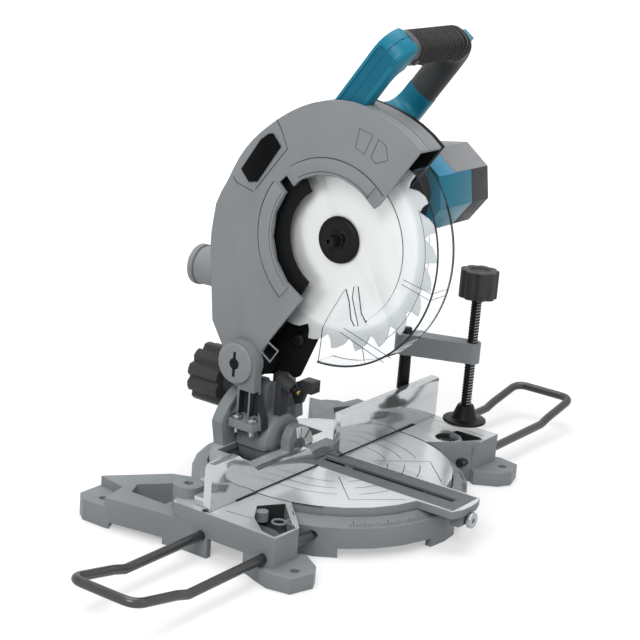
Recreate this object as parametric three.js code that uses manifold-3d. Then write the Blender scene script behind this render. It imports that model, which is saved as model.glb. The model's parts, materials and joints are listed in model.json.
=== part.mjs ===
// A 210 mm bench compound mitre saw, in millimetres, +Z up, +X to the operator's right, -Y to the operator.
import * as THREE from 'three';
import { mergeVertices } from 'three/addons/utils/BufferGeometryUtils.js';
import Module from 'manifold-3d';

const wasm = await Module();
wasm.setup();

// Fits that the whole saw shares
const GAP = 0.3;
const OVERRUN = 1;

// Bench, base ring and table heights
const TABLE_TOP = 42;
const TABLE_RADIUS = 116.5;
const TABLE_THICK = 6;
const RIM_RADIUS_STEP = 1.5;
const RIM_RADIUS = TABLE_RADIUS + RIM_RADIUS_STEP;
const RIM_TOP = 34;
const SKIRT_RADIUS_STEP = 14;
const SKIRT_RADIUS = RIM_RADIUS + SKIRT_RADIUS_STEP;
const SKIRT_TOP = 28.5;
const SKIRT_WALL = 6;
const LEDGE_RADIUS_STEP = 12.5;
const LEDGE_RADIUS = TABLE_RADIUS - LEDGE_RADIUS_STEP;
const LEDGE_TOP = 26;
const WEB_TOP = 12;
const WEB_THICK = 4;
const PIVOT_BOSS = 24;
const PIVOT_BOLT = 8;
const FOOT_RELIEF = 9;
const FRONT_FOOT_STEP = 112;
const FRONT_FOOT = SKIRT_RADIUS - FRONT_FOOT_STEP;
const SIDE_FOOT_STEP = 30;
const SIDE_FOOT = SKIRT_RADIUS - SIDE_FOOT_STEP;

// Wings, ears and rear legs of the base
const WING_REACH_STEP = 55;
const WING_REACH = SKIRT_RADIUS + WING_REACH_STEP;
const WING_FRONT = 75;
const WING_NOSE_STEP = 34;
const WING_NOSE = WING_REACH - WING_NOSE_STEP;
const WING_THROAT_X_STEP = 20;
const WING_THROAT_X = SKIRT_RADIUS - WING_THROAT_X_STEP;
const WING_THROAT_Y = 36;
const WING_REAR = 38;
const WING_HEEL_X_STEP = 37;
const WING_HEEL_X = WING_REACH - WING_HEEL_X_STEP;
const WING_HEEL_Y = 56;
const WING_ROOT_STEP = 40;
const WING_ROOT = SKIRT_RADIUS - WING_ROOT_STEP;
const WING_WALL = 6;
const WING_INNER_STEP = 46;
const WING_INNER = WING_REACH - WING_INNER_STEP;
const ARCH_REAR = 2;
const ARCH_FRONT = 42;
const ARCH_TOP = 19;
const EAR_TOP = 14;
const EAR_OUT_STEP = 10;
const EAR_OUT = WING_REACH + EAR_OUT_STEP;
const EAR_TIP = 105;
const EAR_IN_STEP = 45;
const EAR_IN = WING_REACH - EAR_IN_STEP;
const BOLT_HOLE = 4.5;
const EAR_HOLE_X_STEP = 11;
const EAR_HOLE_X = WING_REACH - EAR_HOLE_X_STEP;
const EAR_HOLE_Y = 90;
const LEG_TOP = 29;
const PAD_TOP = 20;
const LEG_OUT_STEP = 14;
const LEG_OUT = WING_REACH + LEG_OUT_STEP;
const LEG_END_STEP = 27.5;
const LEG_END = TABLE_RADIUS + LEG_END_STEP;
const LEG_RELIEF = 6;
const LEG_HOLE_X_STEP = 1.5;
const LEG_HOLE_X = WING_REACH - LEG_HOLE_X_STEP;
const LEG_HOLE_Y_STEP = 23;
const LEG_HOLE_Y = LEG_END - LEG_HOLE_Y_STEP;
const PAD_FRONT_STEP = 38;
const PAD_FRONT = LEG_END - PAD_FRONT_STEP;
const SOCKET_X_STEP = 24;
const SOCKET_X = WING_REACH - SOCKET_X_STEP;
const SOCKET_Y = 41;
const SOCKET_TOP = 52;
const SOCKET_RADIUS = 14;
const POCKET_RADIUS = 12;
const POCKET_DEPTH = 14;
const POCKET_X_STEP = 48;
const POCKET_X = WING_REACH - POCKET_X_STEP;
const POCKET_Y = 44;

// Extension bars
const BAR_RADIUS = 4.3;
const BAR_Z = 20;
const BAR_REAR = 5;
const BAR_FRONT = 63;
const BAR_INNER_END_STEP = 69;
const BAR_INNER_END = WING_REACH - BAR_INNER_END_STEP;
const BAR_TIP_STEP = 169;
const BAR_TIP = WING_REACH + BAR_TIP_STEP;
const BAR_KINK_STEP = 70;
const BAR_KINK = BAR_TIP - BAR_KINK_STEP;
const BAR_TIP_Z = 38;
const BAR_GUIDE_STEP = 39;
const BAR_GUIDE = WING_REACH - BAR_GUIDE_STEP;
const BAR_BORE = 4.9;
const BAR_TRAVEL = 26;
const BAR_DRAWN_RIGHT = 18;
const LOCK_SCREW_X_STEP = 4;
const LOCK_SCREW_X = WING_REACH - LOCK_SCREW_X_STEP;
const LOCK_SCREW_RADIUS = 3;
const LOCK_SCREW_DEPTH = 3;

// Fence
const FENCE_THICK = 8;
const FENCE_HIGH = 85;
const FENCE_LOW = 63;
const FENCE_LEFT_END_STEP = 4;
const FENCE_LEFT_END = WING_REACH - FENCE_LEFT_END_STEP;
const FENCE_LEFT_STEP_STEP = 37;
const FENCE_LEFT_STEP = FENCE_LEFT_END - FENCE_LEFT_STEP_STEP;
const FENCE_LEFT_DROP_STEP = 30;
const FENCE_LEFT_DROP = FENCE_LEFT_STEP - FENCE_LEFT_DROP_STEP;
const FENCE_LEFT_INNER = 37;
const FENCE_MOUTH_LEFT = 21;
const FENCE_MOUTH_RIGHT = 12;
const FENCE_CHAMFER = 3;
const FENCE_BACK = 24;
const FENCE_BRIDGE_FRONT = 12;
const FENCE_BRIDGE_TOP = 52;
const FENCE_BOSS_X = 22;
const FENCE_BOSS_Y = 22;
const FENCE_BOSS_RADIUS = 6;
const FENCE_BOLT = 3;
const FENCE_FOOT_X_STEP = 21;
const FENCE_FOOT_X = WING_REACH - FENCE_FOOT_X_STEP;
const FENCE_FOOT_DEPTH = 22;
const FENCE_BOLT_Y = (FENCE_FOOT_DEPTH + FENCE_THICK) / 2;
const FENCE_FOOT_HALF = 12;
const FENCE_FOOT_TOP = 50;

// Turntable, kerf insert and the arm in front
const ARM_HALF = 25;
const ARM_TIP_STEP = 39.5;
const ARM_TIP = TABLE_RADIUS + ARM_TIP_STEP;
const ARM_UNDER = 34.6;
const LUG_HALF = 9;
const LUG_BACK_STEP = 5;
const LUG_BACK = SKIRT_RADIUS + LUG_BACK_STEP;
const LUG_BOTTOM = 22;
const LOCK_Z = 29;
const LOCK_RADIUS = 5;
const LOCK_BOSS = 7.5;
const LOCK_END_STEP = 4;
const LOCK_END = ARM_TIP + LOCK_END_STEP;
const INSERT_HALF = 21.6;
const INSERT_THICK = 3;
const INSERT_FRONT_STEP = 6;
const INSERT_FRONT = ARM_TIP - INSERT_FRONT_STEP;
const INSERT_REAR = 12;
const SLOT_LEFT = 3.6;
const SLOT_RIGHT = 5.4;
const SLOT_FRONT_STEP = 12;
const SLOT_FRONT = INSERT_FRONT - SLOT_FRONT_STEP;
const SLOT_REAR = 14;
const TROUGH_HALF = 9;
const TROUGH_REAR = 22;
const SHELF_Z = 36;

// Window for the tilting arm, the lug in front of it, the bevel bracket, the arm and its lock
const BRACKET_REAR_STEP = 10.5;
const BRACKET_REAR = TABLE_RADIUS - BRACKET_REAR_STEP;
const BRACKET_FRONT_STEP = 12;
const BRACKET_FRONT = BRACKET_REAR - BRACKET_FRONT_STEP;
const WINDOW_HALF = 62;
const WINDOW_REAR_STEP = 2;
const WINDOW_REAR = BRACKET_FRONT - WINDOW_REAR_STEP;
const WINDOW_FRONT_STEP = 40;
const WINDOW_FRONT = WINDOW_REAR - WINDOW_FRONT_STEP;
const LUG_FRONT_STEP = 12;
const LUG_FRONT = WINDOW_FRONT - LUG_FRONT_STEP;
const LUG_REAR_STEP = 2;
const LUG_REAR = WINDOW_FRONT - LUG_REAR_STEP;
const SCALE_RADIUS = 24;
const BRACKET_HALF = 44;
const BEVEL_SLOT = 50;
const BEVEL_SLOT_HALF = 4.6;
const BRACKET_RADIUS = 58;
const BEVEL_PIN = 8;
const BEVEL_HUB = 27;
const HUB_DOME = 31;
const HUB_ROUNDING = 6;
const ARM_REAR_STEP = 2.3;
const ARM_REAR = BRACKET_FRONT - ARM_REAR_STEP;
const HUB_FRONT_STEP = 4;
const HUB_FRONT = WINDOW_FRONT + HUB_FRONT_STEP;
const CHEEK_INNER = 22.4;
const CHEEK_OUTER_STEP = 11.6;
const CHEEK_OUTER = CHEEK_INNER + CHEEK_OUTER_STEP;
const CHEEK_RADIUS = 22;
const COLUMN_FRONT_STEP = 25.7;
const COLUMN_FRONT = ARM_REAR - COLUMN_FRONT_STEP;
const COLUMN_TOP = 74;
const BEVEL_TRAVEL = 45;
const BEVEL_BOLT = 4;
const BEVEL_LUG = 9.5;
const BEVEL_KNOB_RADIUS = 30;
const BEVEL_KNOB_FRONT_STEP = 16;
const BEVEL_KNOB_FRONT = BRACKET_REAR + BEVEL_KNOB_FRONT_STEP;
const BEVEL_KNOB_REAR_STEP = 36;
const BEVEL_KNOB_REAR = BEVEL_KNOB_FRONT + BEVEL_KNOB_REAR_STEP;

// Head pivot, blade and guards
const PIVOT_Y_STEP = 3.3;
const PIVOT_Y = ARM_REAR + PIVOT_Y_STEP;
const PIVOT_Z = 123;
const BLADE_Y_STEP = 85;
const BLADE_Y = PIVOT_Y - BLADE_Y_STEP;
const BLADE_Z_STEP = 134;
const BLADE_Z = PIVOT_Z + BLADE_Z_STEP;
const BLADE_RADIUS = 105;
const PIVOT_PIN = 8;
const PIVOT_CAP = 20;
const SHIELD_RADIUS_STEP = 55;
const SHIELD_RADIUS = BLADE_RADIUS - SHIELD_RADIUS_STEP;
const SHIELD_LEFT = -13;
const BADGE_Y_STEP = 81;
const BADGE_Y = BLADE_Y + BADGE_Y_STEP;
const BADGE_Z_STEP = 65;
const BADGE_Z = BLADE_Z + BADGE_Z_STEP;
const BADGE_WIDE = 21;
const BADGE_TALL = 55;
const BADGE_TURN = 33;
const BADGE_CHAMFER = 7;
const BADGE_THICK = 1.4;
const STOP_Y_STEP = 40;
const STOP_Y = PIVOT_Y - STOP_Y_STEP;
const STOP_Z_STEP = 24;
const STOP_Z = PIVOT_Z + STOP_Z_STEP;
const STOP_RADIUS = 7;
const STOP_REACH = 6;
const CAP_THICK = 3.5;
const HEAD_HUB = 19;
const BLADE_THICK = 2.4;
const BLADE_TEETH = 24;
const TOOTH_DEPTH = 13;
const SPINDLE_RADIUS = 8;
const FLANGE_RADIUS = 22.7;
const FLANGE_THICK = 6;
const GUARD_LEFT = 22;
const GUARD_WALL = 3;
const GUARD_SEAM = 11.7;
const PLATE_LEFT = 12;
const PLATE_RIGHT = 18;
const GUARD_RADIUS_STEP = 17;
const GUARD_RADIUS = BLADE_RADIUS + GUARD_RADIUS_STEP;
const GUARD_OPEN = 63;
const GUARD_BAND_STEP = 15;
const GUARD_BAND = GUARD_OPEN + GUARD_BAND_STEP;
const BAND_PROUD = 1.6;
const LOWER_OUTER_STEP = 12;
const LOWER_OUTER = BLADE_RADIUS + LOWER_OUTER_STEP;
const LOWER_WALL = 2.6;
const LOWER_SKIN = 1.5;
const VANE_REACH = 46;
const LOWER_INNER_STEP = 27;
const LOWER_INNER = BLADE_RADIUS - LOWER_INNER_STEP;
const LOWER_LEFT = 17;
const LOWER_RIGHT = 9.5;
const LOWER_START = 135;
const LOWER_END = 285;
const LOWER_RING = 24;
const LOWER_RING_OUTER = 33;
const AXLE_BOSS = 23.6;
const AXLE_BOSS_DEPTH = 4.6;

// Gear train and motor
const MOTOR_Y_STEP = 36;
const MOTOR_Y = BLADE_Y - MOTOR_Y_STEP;
const MOTOR_Z_STEP = 46;
const MOTOR_Z = BLADE_Z + MOTOR_Z_STEP;
const MOTOR_TURN = 8;
const GEAR_TEETH = 27;
const PINION_TEETH = 9;
const GEAR_LEFT = 25;
const GEAR_FACE = 11;
const CASE_WALL = 4;
const CASE_RIGHT = 46;
const MOTOR_FLAT = 37.5;
const MOTOR_WALL = 3;
const MOTOR_SPLIT = 103;
const HOOD_START = 74;
const MOTOR_END = 137;
const CAP_TAPER = 4;
const MOTOR_SHAFT = 6;
const ARMATURE_RADIUS = 18;
const ARMATURE_LONG = 36;
const ARMATURE_STEP = 14;
const COMMUTATOR_RADIUS = 12;
const STATOR_END = 8;
const BRUSH_RADIUS = 8;
const BRUSH_PLACE = 12;
const VENT_PITCH = 11;
const VENT_HALF = 2;
const VENT_DEPTH = 10;
const STATOR_RADIUS = MOTOR_FLAT - MOTOR_WALL - GAP;
const STATOR_BORE = 20;

// Handle, in a leaning plane: across the saw, and along the limbs from where they meet the guard
const HANDLE_Y_STEP = 7.5;
const HANDLE_Y = BLADE_Y - HANDLE_Y_STEP;
const HANDLE_Z_STEP = 8.2;
const HANDLE_Z = BLADE_Z + GUARD_RADIUS + HANDLE_Z_STEP;
const HANDLE_LEAN = 54.6;
const HANDLE_THICK = 30;
const HANDLE_LEFT = 16;
const HANDLE_RIGHT = 114;
const HANDLE_LIMB = 17;
const HANDLE_LENGTH = 78;
const HANDLE_ROOT = 45;
const HANDLE_CORNER = 24;
const HANDLE_ROUNDING = 5;
const GRIP_DEPTH = 28;
const GRIP_START = 4;
const GRIP_END = 1;
const CORE_HALF = 6;
const TRIGGER_LEFT = 38;
const TRIGGER_RIGHT = 72;
const TRIGGER_THICK = 12;
const TRIGGER_STEM = 7;
const TRIGGER_DROP = 9;
const BUTTON_RADIUS = 3.5;
const BUTTON_PROUD = 1.6;
const BUTTON_PLACE = 8;

// Dust port
const PORT_RADIUS = 19;
const PORT_Z_STEP = 57;
const PORT_Z = BLADE_Z - PORT_Z_STEP;
const PORT_X = -3;
const PORT_END_STEP = 40;
const PORT_END = BLADE_Y + GUARD_RADIUS + PORT_END_STEP;
const PORT_WALL = 2.5;
const PORT_LIP = 6;

// Hold-down clamp
const POST_X_STEP = 41;
const POST_X = WING_REACH - POST_X_STEP;
const POST_Y = 18;
const POST_RADIUS = 6.5;
const POST_TOP = 142;
const POST_SEAT = 30;
const CLAMP_ARM_BOTTOM = 115;
const CLAMP_ARM_TOP_STEP = 21;
const CLAMP_ARM_TOP = CLAMP_ARM_BOTTOM + CLAMP_ARM_TOP_STEP;
const CLAMP_ARM_HALF = 9;
const SCREW_X_STEP = 24;
const SCREW_X = POST_X + SCREW_X_STEP;
const SCREW_Y = -44;
const SCREW_RADIUS = 5.5;
const PAD_RADIUS = 23;
const PAD_BOTTOM = 52;
const PAD_THICK = 3;
const PAD_BELL = 18;
const KNOB_RADIUS = 19.5;
const KNOB_BOTTOM = 183;
const KNOB_HEIGHT = 28;
const SCREW_TOP_STEP = 24;
const SCREW_TOP = KNOB_BOTTOM + SCREW_TOP_STEP;

// The middle of the footprint, front to back, where the saw's origin lies
const FOOTPRINT_MIDDLE = (PORT_END - LOCK_END) / 2;

// Facets of round pieces
const FINE = 30;
const ROUND = 20;
const SMALL = 12;
const TINY = 8;
const HEX = 6;

// Materials
const paint = (color, roughness, metalness) =>
  new THREE.MeshStandardMaterial({ color, roughness, metalness });
const GREY_CASTING = paint(0x7d8285, 0.55, 0.25);
const GUARD_GREY = paint(0x83878a, 0.5, 0.2);
const MACHINED = paint(0xc4c7c9, 0.3, 0.9);
const BLUE = paint(0x1d7a94, 0.4, 0);
const DARK_GREY = paint(0x4a4c4e, 0.5, 0);
const BLACK = paint(0x141414, 0.5, 0.1);
const KNOB_BLACK = paint(0x3c3c3c, 0.6, 0);
const BLADE_STEEL = paint(0xd9dcdc, 0.2, 1);
const STEEL = paint(0x9a9da0, 0.35, 0.9);
const BAR_STEEL = paint(0x4a4a4a, 0.35, 0.8);
const INSERT_GREY = paint(0x6b7072, 0.6, 0);
const CLEAR = paint(0xe6eef0, 0.1, 0);
const COPPER = paint(0xb0683a, 0.4, 0.8);
const BRASS = paint(0xc8a04a, 0.3, 0.9);
const WHITE = paint(0xf2f2ee, 0.6, 0);

// A closed geometry as a solid, with its faces turned outwards
function solid(geometry) {
  const bare = geometry.index ? geometry.toNonIndexed() : geometry.clone();
  bare.deleteAttribute('normal');
  bare.deleteAttribute('uv');
  const merged = mergeVertices(bare, 1e-4);
  const position = merged.attributes.position;
  const corner = (i) => new THREE.Vector3().fromBufferAttribute(position, i);
  const faces = [];
  let volume = 0;
  for (let i = 0; i < merged.index.count; i += 3) {
    const face = [0, 1, 2].map((k) => merged.index.getX(i + k));
    if (new Set(face).size < 3) continue;
    const [a, b, c] = face.map(corner);
    volume += a.dot(b.cross(c));
    faces.push(face);
  }
  const triVerts = new Uint32Array(faces.flatMap((f) => (volume < 0 ? [f[0], f[2], f[1]] : f)));
  const vertProperties = new Float32Array(position.array);
  return new wasm.Manifold(new wasm.Mesh({ numProp: 3, vertProperties, triVerts }));
}

// Joins closed geometries or solids into one
function join(...pieces) {
  return pieces.map(asSolid).reduce((whole, piece) => whole.add(piece));
}

// Takes the tools away from the blank
function cut(blank, ...tools) {
  return tools.map(asSolid).reduce((whole, tool) => whole.subtract(tool), asSolid(blank));
}

// What the two share
function common(a, b) {
  return asSolid(a).intersect(asSolid(b));
}

function asSolid(piece) {
  return piece.isBufferGeometry ? solid(piece) : piece;
}

// A solid back as a geometry with flat faces
function asGeometry(piece) {
  const mesh = asSolid(piece).asOriginal().simplify(0.01).getMesh();
  const geometry = new THREE.BufferGeometry();
  const places = new Float32Array((mesh.vertProperties.length / mesh.numProp) * 3);
  for (let i = 0; i < places.length / 3; i++) {
    for (let k = 0; k < 3; k++) places[3 * i + k] = mesh.vertProperties[mesh.numProp * i + k];
  }
  geometry.setAttribute('position', new THREE.BufferAttribute(places, 3));
  geometry.setIndex([...mesh.triVerts]);
  const flat = geometry.toNonIndexed();
  flat.computeVertexNormals();
  return flat;
}

// A named mesh of a piece
function part(name, piece, material) {
  const mesh = new THREE.Mesh(asGeometry(piece), material);
  mesh.name = name;
  return mesh;
}

// Outlines are lists of [u, v]
function outline(points) {
  return new THREE.Shape(points.map(([u, v]) => new THREE.Vector2(u, v)));
}

function extrude(shape, depth) {
  return new THREE.ExtrudeGeometry(shape, { depth, bevelEnabled: false, curveSegments: SMALL });
}

// A prism over an outline in X and Y, between two heights
function slab(points, low, high) {
  return extrude(outline(points), high - low).translate(0, 0, low);
}

// A prism over an outline in Y and Z, between two places along X
function sidePlate(shape, left, right) {
  const basis = new THREE.Matrix4().makeBasis(
    new THREE.Vector3(0, 1, 0),
    new THREE.Vector3(0, 0, 1),
    new THREE.Vector3(1, 0, 0),
  );
  const profile = Array.isArray(shape) ? outline(shape) : shape;
  return extrude(profile, right - left).applyMatrix4(basis).translate(left, 0, 0);
}

// A prism over an outline in X and Z, between two places along Y
function frontPlate(shape, front, rear) {
  const profile = Array.isArray(shape) ? outline(shape) : shape;
  return extrude(profile, rear - front).rotateX(Math.PI / 2).translate(0, rear, 0);
}

function block(x0, x1, y0, y1, z0, z1) {
  const geometry = new THREE.BoxGeometry(x1 - x0, y1 - y0, z1 - z0);
  return geometry.translate((x0 + x1) / 2, (y0 + y1) / 2, (z0 + z1) / 2);
}

// Round pieces: a bar along an axis, from one end to the other, about a centre
function barX(radius, from, to, y = 0, z = 0, sides = ROUND) {
  const bar = new THREE.CylinderGeometry(radius, radius, to - from, sides);
  return bar.rotateZ(-Math.PI / 2).translate((from + to) / 2, y, z);
}

function barY(radius, from, to, x = 0, z = 0, sides = ROUND) {
  return new THREE.CylinderGeometry(radius, radius, to - from, sides).translate(x, (from + to) / 2, z);
}

function barZ(radius, from, to, x = 0, y = 0, sides = ROUND) {
  const bar = new THREE.CylinderGeometry(radius, radius, to - from, sides);
  return bar.rotateX(Math.PI / 2).translate(x, y, (from + to) / 2);
}

// Turned pieces: a profile of [radius, height] spun about an axis
function turned(profile, sides = ROUND) {
  const points = profile.map(([r, h]) => new THREE.Vector2(r, h));
  const onAxis = profile[0][0] === 0;
  if (!onAxis) points.push(points[0].clone());
  return new THREE.LatheGeometry(points, sides);
}

const turnedX = (profile, sides) => turned(profile, sides).rotateZ(-Math.PI / 2);
const turnedZ = (profile, sides) => turned(profile, sides).rotateX(Math.PI / 2);

// A point at an angle, in degrees, about a centre
function polar(radius, degrees, u = 0, v = 0) {
  const angle = THREE.MathUtils.degToRad(degrees);
  return [u + radius * Math.cos(angle), v + radius * Math.sin(angle)];
}

function arc(radius, from, to, steps, u = 0, v = 0) {
  return Array.from({ length: steps + 1 }, (_, i) => polar(radius, from + ((to - from) * i) / steps, u, v));
}

// A knob's outline with shallow flutes
function flutedOutline(radius, flutes, depth, steps) {
  const points = [];
  for (let i = 0; i < flutes * steps; i++) {
    const wave = Math.abs(Math.sin((Math.PI * i) / steps));
    points.push(polar(radius - depth * (1 - wave) ** 2, (360 * i) / (flutes * steps)));
  }
  return points;
}

// Moves an outline's points in X by a side, so that left and right share one outline
const sided = (side, points) => points.map(([x, y]) => [side * x, y]);

// The base: ring with its sloped scale rim, web, wings, ears and legs
function baseRing() {
  const ring = turnedZ(
    [
      [PIVOT_BOLT + GAP, WEB_TOP - WEB_THICK],
      [SKIRT_RADIUS - SKIRT_WALL, WEB_TOP - WEB_THICK],
      [SKIRT_RADIUS - SKIRT_WALL, 0],
      [SKIRT_RADIUS, 0],
      [SKIRT_RADIUS, SKIRT_TOP],
      [RIM_RADIUS, RIM_TOP],
      [RIM_RADIUS, LEDGE_TOP],
      [LEDGE_RADIUS, LEDGE_TOP],
      [LEDGE_RADIUS, WEB_TOP],
      [PIVOT_BOSS, WEB_TOP],
      [PIVOT_BOSS, WEB_TOP + WEB_THICK],
      [PIVOT_BOLT + GAP, WEB_TOP + WEB_THICK],
    ],
    FINE,
  );
  return ring;
}

function bowl() {
  const low = WEB_TOP;
  return join(
    barZ(RIM_RADIUS, LEDGE_TOP, FENCE_HIGH, 0, 0, FINE),
    barZ(LEDGE_RADIUS, low, FENCE_HIGH, 0, 0, FINE),
  );
}

function wing(side) {
  const top = slab(
    sided(side, [
      [WING_ROOT, -WING_THROAT_Y],
      [WING_THROAT_X, -WING_THROAT_Y],
      [WING_NOSE, -WING_FRONT],
      [WING_REACH, -WING_FRONT],
      [WING_REACH, WING_REAR],
      [WING_HEEL_X, WING_HEEL_Y],
      [WING_ROOT, WING_HEEL_Y],
    ]),
    0,
    TABLE_TOP,
  );
  const hollow = slab(
    sided(side, [
      [WING_INNER, -WING_THROAT_Y - WING_WALL],
      [WING_NOSE + WING_WALL, WING_WALL - WING_FRONT],
      [WING_REACH - WING_WALL, WING_WALL - WING_FRONT],
      [WING_REACH - WING_WALL, WING_REAR - WING_WALL],
      [WING_INNER, WING_REAR - WING_WALL],
    ]),
    -OVERRUN,
    TABLE_TOP - WING_WALL,
  );
  const arch = slab(
    sided(side, [
      [WING_REACH - WING_WALL - OVERRUN, -ARCH_FRONT],
      [WING_REACH + OVERRUN, -ARCH_FRONT],
      [WING_REACH + OVERRUN, -ARCH_REAR],
      [WING_REACH - WING_WALL - OVERRUN, -ARCH_REAR],
    ]),
    -OVERRUN,
    ARCH_TOP,
  );
  const ribHalf = BAR_BORE + WING_WALL / 2;
  const ribs = [BAR_REAR, -BAR_FRONT].map((y) =>
    slab(
      sided(side, [
        [BAR_GUIDE, y - ribHalf],
        [BAR_GUIDE + WING_WALL, y - ribHalf],
        [BAR_GUIDE + WING_WALL, y + ribHalf],
        [BAR_GUIDE, y + ribHalf],
      ]),
      BAR_Z - ribHalf,
      TABLE_TOP - WING_WALL / 2,
    ),
  );
  return join(cut(top, hollow, arch), ...ribs);
}

function ear(side) {
  return slab(
    sided(side, [
      [EAR_IN, -EAR_TIP + 2 * EAR_TOP],
      [EAR_IN + EAR_TOP, -EAR_TIP + EAR_TOP / 2],
      [EAR_HOLE_X - EAR_TOP / 2, -EAR_TIP],
      [EAR_OUT - BOLT_HOLE, -EAR_TIP + EAR_TOP / 2],
      [EAR_OUT, -EAR_HOLE_Y + EAR_TOP],
      [EAR_OUT - BOLT_HOLE, -WING_FRONT + EAR_TOP],
      [WING_REACH, -WING_FRONT + 2 * EAR_TOP],
      [WING_NOSE, -WING_FRONT + EAR_TOP],
    ]),
    0,
    EAR_TOP,
  );
}

function leg(side) {
  const plan = [
    [WING_REACH, WING_REAR - 2 * WING_WALL],
    [LEG_OUT, LEG_HOLE_Y - SOCKET_RADIUS],
    [LEG_OUT, LEG_END - 2 * WING_WALL],
    [LEG_OUT - 2 * BOLT_HOLE, LEG_END],
    [WING_HEEL_X + SOCKET_RADIUS, LEG_END],
    [WING_THROAT_X, LEG_END - WING_HEEL_Y + SOCKET_RADIUS],
    [WING_ROOT, WING_HEEL_Y],
    [WING_INNER, WING_HEEL_Y / 2],
  ];
  const windowPlan = [
    [WING_REACH - SOCKET_RADIUS, LEG_HOLE_Y - 2 * SOCKET_RADIUS + WING_WALL],
    [WING_HEEL_X + WING_WALL, LEG_HOLE_Y - SOCKET_RADIUS],
    [WING_THROAT_X + SOCKET_RADIUS, LEG_HOLE_Y - WING_REAR],
    [WING_HEEL_X - WING_WALL / 2, WING_HEEL_Y + WING_WALL / 2],
    [WING_REACH - SOCKET_RADIUS, WING_HEEL_Y + WING_WALL / 2],
  ];
  const blank = slab(sided(side, plan), 0, LEG_TOP);
  const window = slab(sided(side, windowPlan), -OVERRUN, LEG_TOP + OVERRUN);
  const step = slab(
    sided(side, [
      [LEG_OUT + OVERRUN, PAD_FRONT],
      [LEG_OUT + OVERRUN, LEG_END + OVERRUN],
      [WING_HEEL_X + SOCKET_RADIUS, LEG_END + OVERRUN],
      [WING_HEEL_X + SOCKET_RADIUS + WING_WALL, PAD_FRONT + WING_WALL],
    ]),
    PAD_TOP,
    LEG_TOP + OVERRUN,
  );
  const relief = slab(
    sided(side, [
      [WING_ROOT, WING_HEEL_Y + WING_WALL],
      [WING_REACH + SOCKET_RADIUS + OVERRUN, WING_REAR + WING_WALL],
      [WING_REACH + SOCKET_RADIUS + OVERRUN, PAD_FRONT - WING_WALL],
      [WING_THROAT_X, LEG_END],
    ]),
    -OVERRUN,
    LEG_RELIEF,
  );
  return cut(blank, window, step, relief);
}

function baseCasting() {
  const sides = [-1, 1];
  const reliefs = sides.map((side) =>
    block(
      Math.min(side * FRONT_FOOT, side * SIDE_FOOT),
      Math.max(side * FRONT_FOOT, side * SIDE_FOOT),
      -SKIRT_RADIUS - OVERRUN,
      SKIRT_RADIUS + OVERRUN,
      -OVERRUN,
      FOOT_RELIEF,
    ),
  );
  const ring = cut(baseRing(), ...reliefs);
  const outer = sides.flatMap((side) => [
    wing(side),
    ear(side),
    leg(side),
    barZ(SOCKET_RADIUS, 0, SOCKET_TOP, side * SOCKET_X, SOCKET_Y),
  ]);
  const under = barZ(SKIRT_RADIUS - SKIRT_WALL, -OVERRUN, WEB_TOP - WEB_THICK, 0, 0, FINE);
  const shell = join(ring, cut(join(...outer), bowl(), under));
  const holes = sides.flatMap((side) => [
    barZ(BOLT_HOLE, -OVERRUN, EAR_TOP + OVERRUN, side * EAR_HOLE_X, -EAR_HOLE_Y, TINY),
    barZ(BOLT_HOLE, -OVERRUN, LEG_TOP + OVERRUN, side * LEG_HOLE_X, LEG_HOLE_Y, TINY),
    barZ(BOLT_HOLE, WING_REAR, SOCKET_TOP + OVERRUN, side * SOCKET_X, SOCKET_Y, TINY),
    barZ(POST_RADIUS + GAP, POST_SEAT, TABLE_TOP + OVERRUN, side * POST_X, POST_Y, SMALL),
    barZ(POCKET_RADIUS, TABLE_TOP - POCKET_DEPTH, TABLE_TOP + OVERRUN, side * POCKET_X, -POCKET_Y),
    barZ(LOCK_SCREW_RADIUS + GAP, BAR_Z, TABLE_TOP + OVERRUN, side * LOCK_SCREW_X, BAR_REAR, SMALL),
    ...[BAR_REAR, -BAR_FRONT].map((y) =>
      barX(
        BAR_BORE,
        Math.min(side * (BAR_INNER_END - BAR_TRAVEL), side * (WING_REACH + OVERRUN)),
        Math.max(side * (BAR_INNER_END - BAR_TRAVEL), side * (WING_REACH + OVERRUN)),
        y,
        BAR_Z,
        TINY,
      ),
    ),
  ]);
  return cut(shell, ...holes);
}

// A round bar bent along a list of places, its sides turned to halve each bend
function bentBar(places, radius, sides) {
  const rings = places.map((place, i) => {
    const before = places[Math.max(i - 1, 0)];
    const after = places[Math.min(i + 1, places.length - 1)];
    const ahead = after.clone().sub(before).normalize();
    const level = new THREE.Vector3(-ahead.y, ahead.x, 0).normalize();
    const rise = new THREE.Vector3().crossVectors(ahead, level);
    return arc(radius, 0, 360 - 360 / sides, sides - 1).map(([u, v]) =>
      place.clone().addScaledVector(level, u).addScaledVector(rise, v),
    );
  });
  const corners = rings.flat();
  const faces = [];
  for (let i = 0; i + 1 < rings.length; i++) {
    for (let k = 0; k < sides; k++) {
      const a = i * sides + k;
      const b = i * sides + ((k + 1) % sides);
      faces.push([a, b, b + sides], [a, b + sides, a + sides]);
    }
  }
  const last = corners.length - sides;
  for (let k = 1; k + 1 < sides; k++) {
    faces.push([0, k + 1, k], [last, last + k, last + k + 1]);
  }
  const geometry = new THREE.BufferGeometry().setFromPoints(corners);
  geometry.setIndex(faces.flat());
  return geometry;
}

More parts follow.
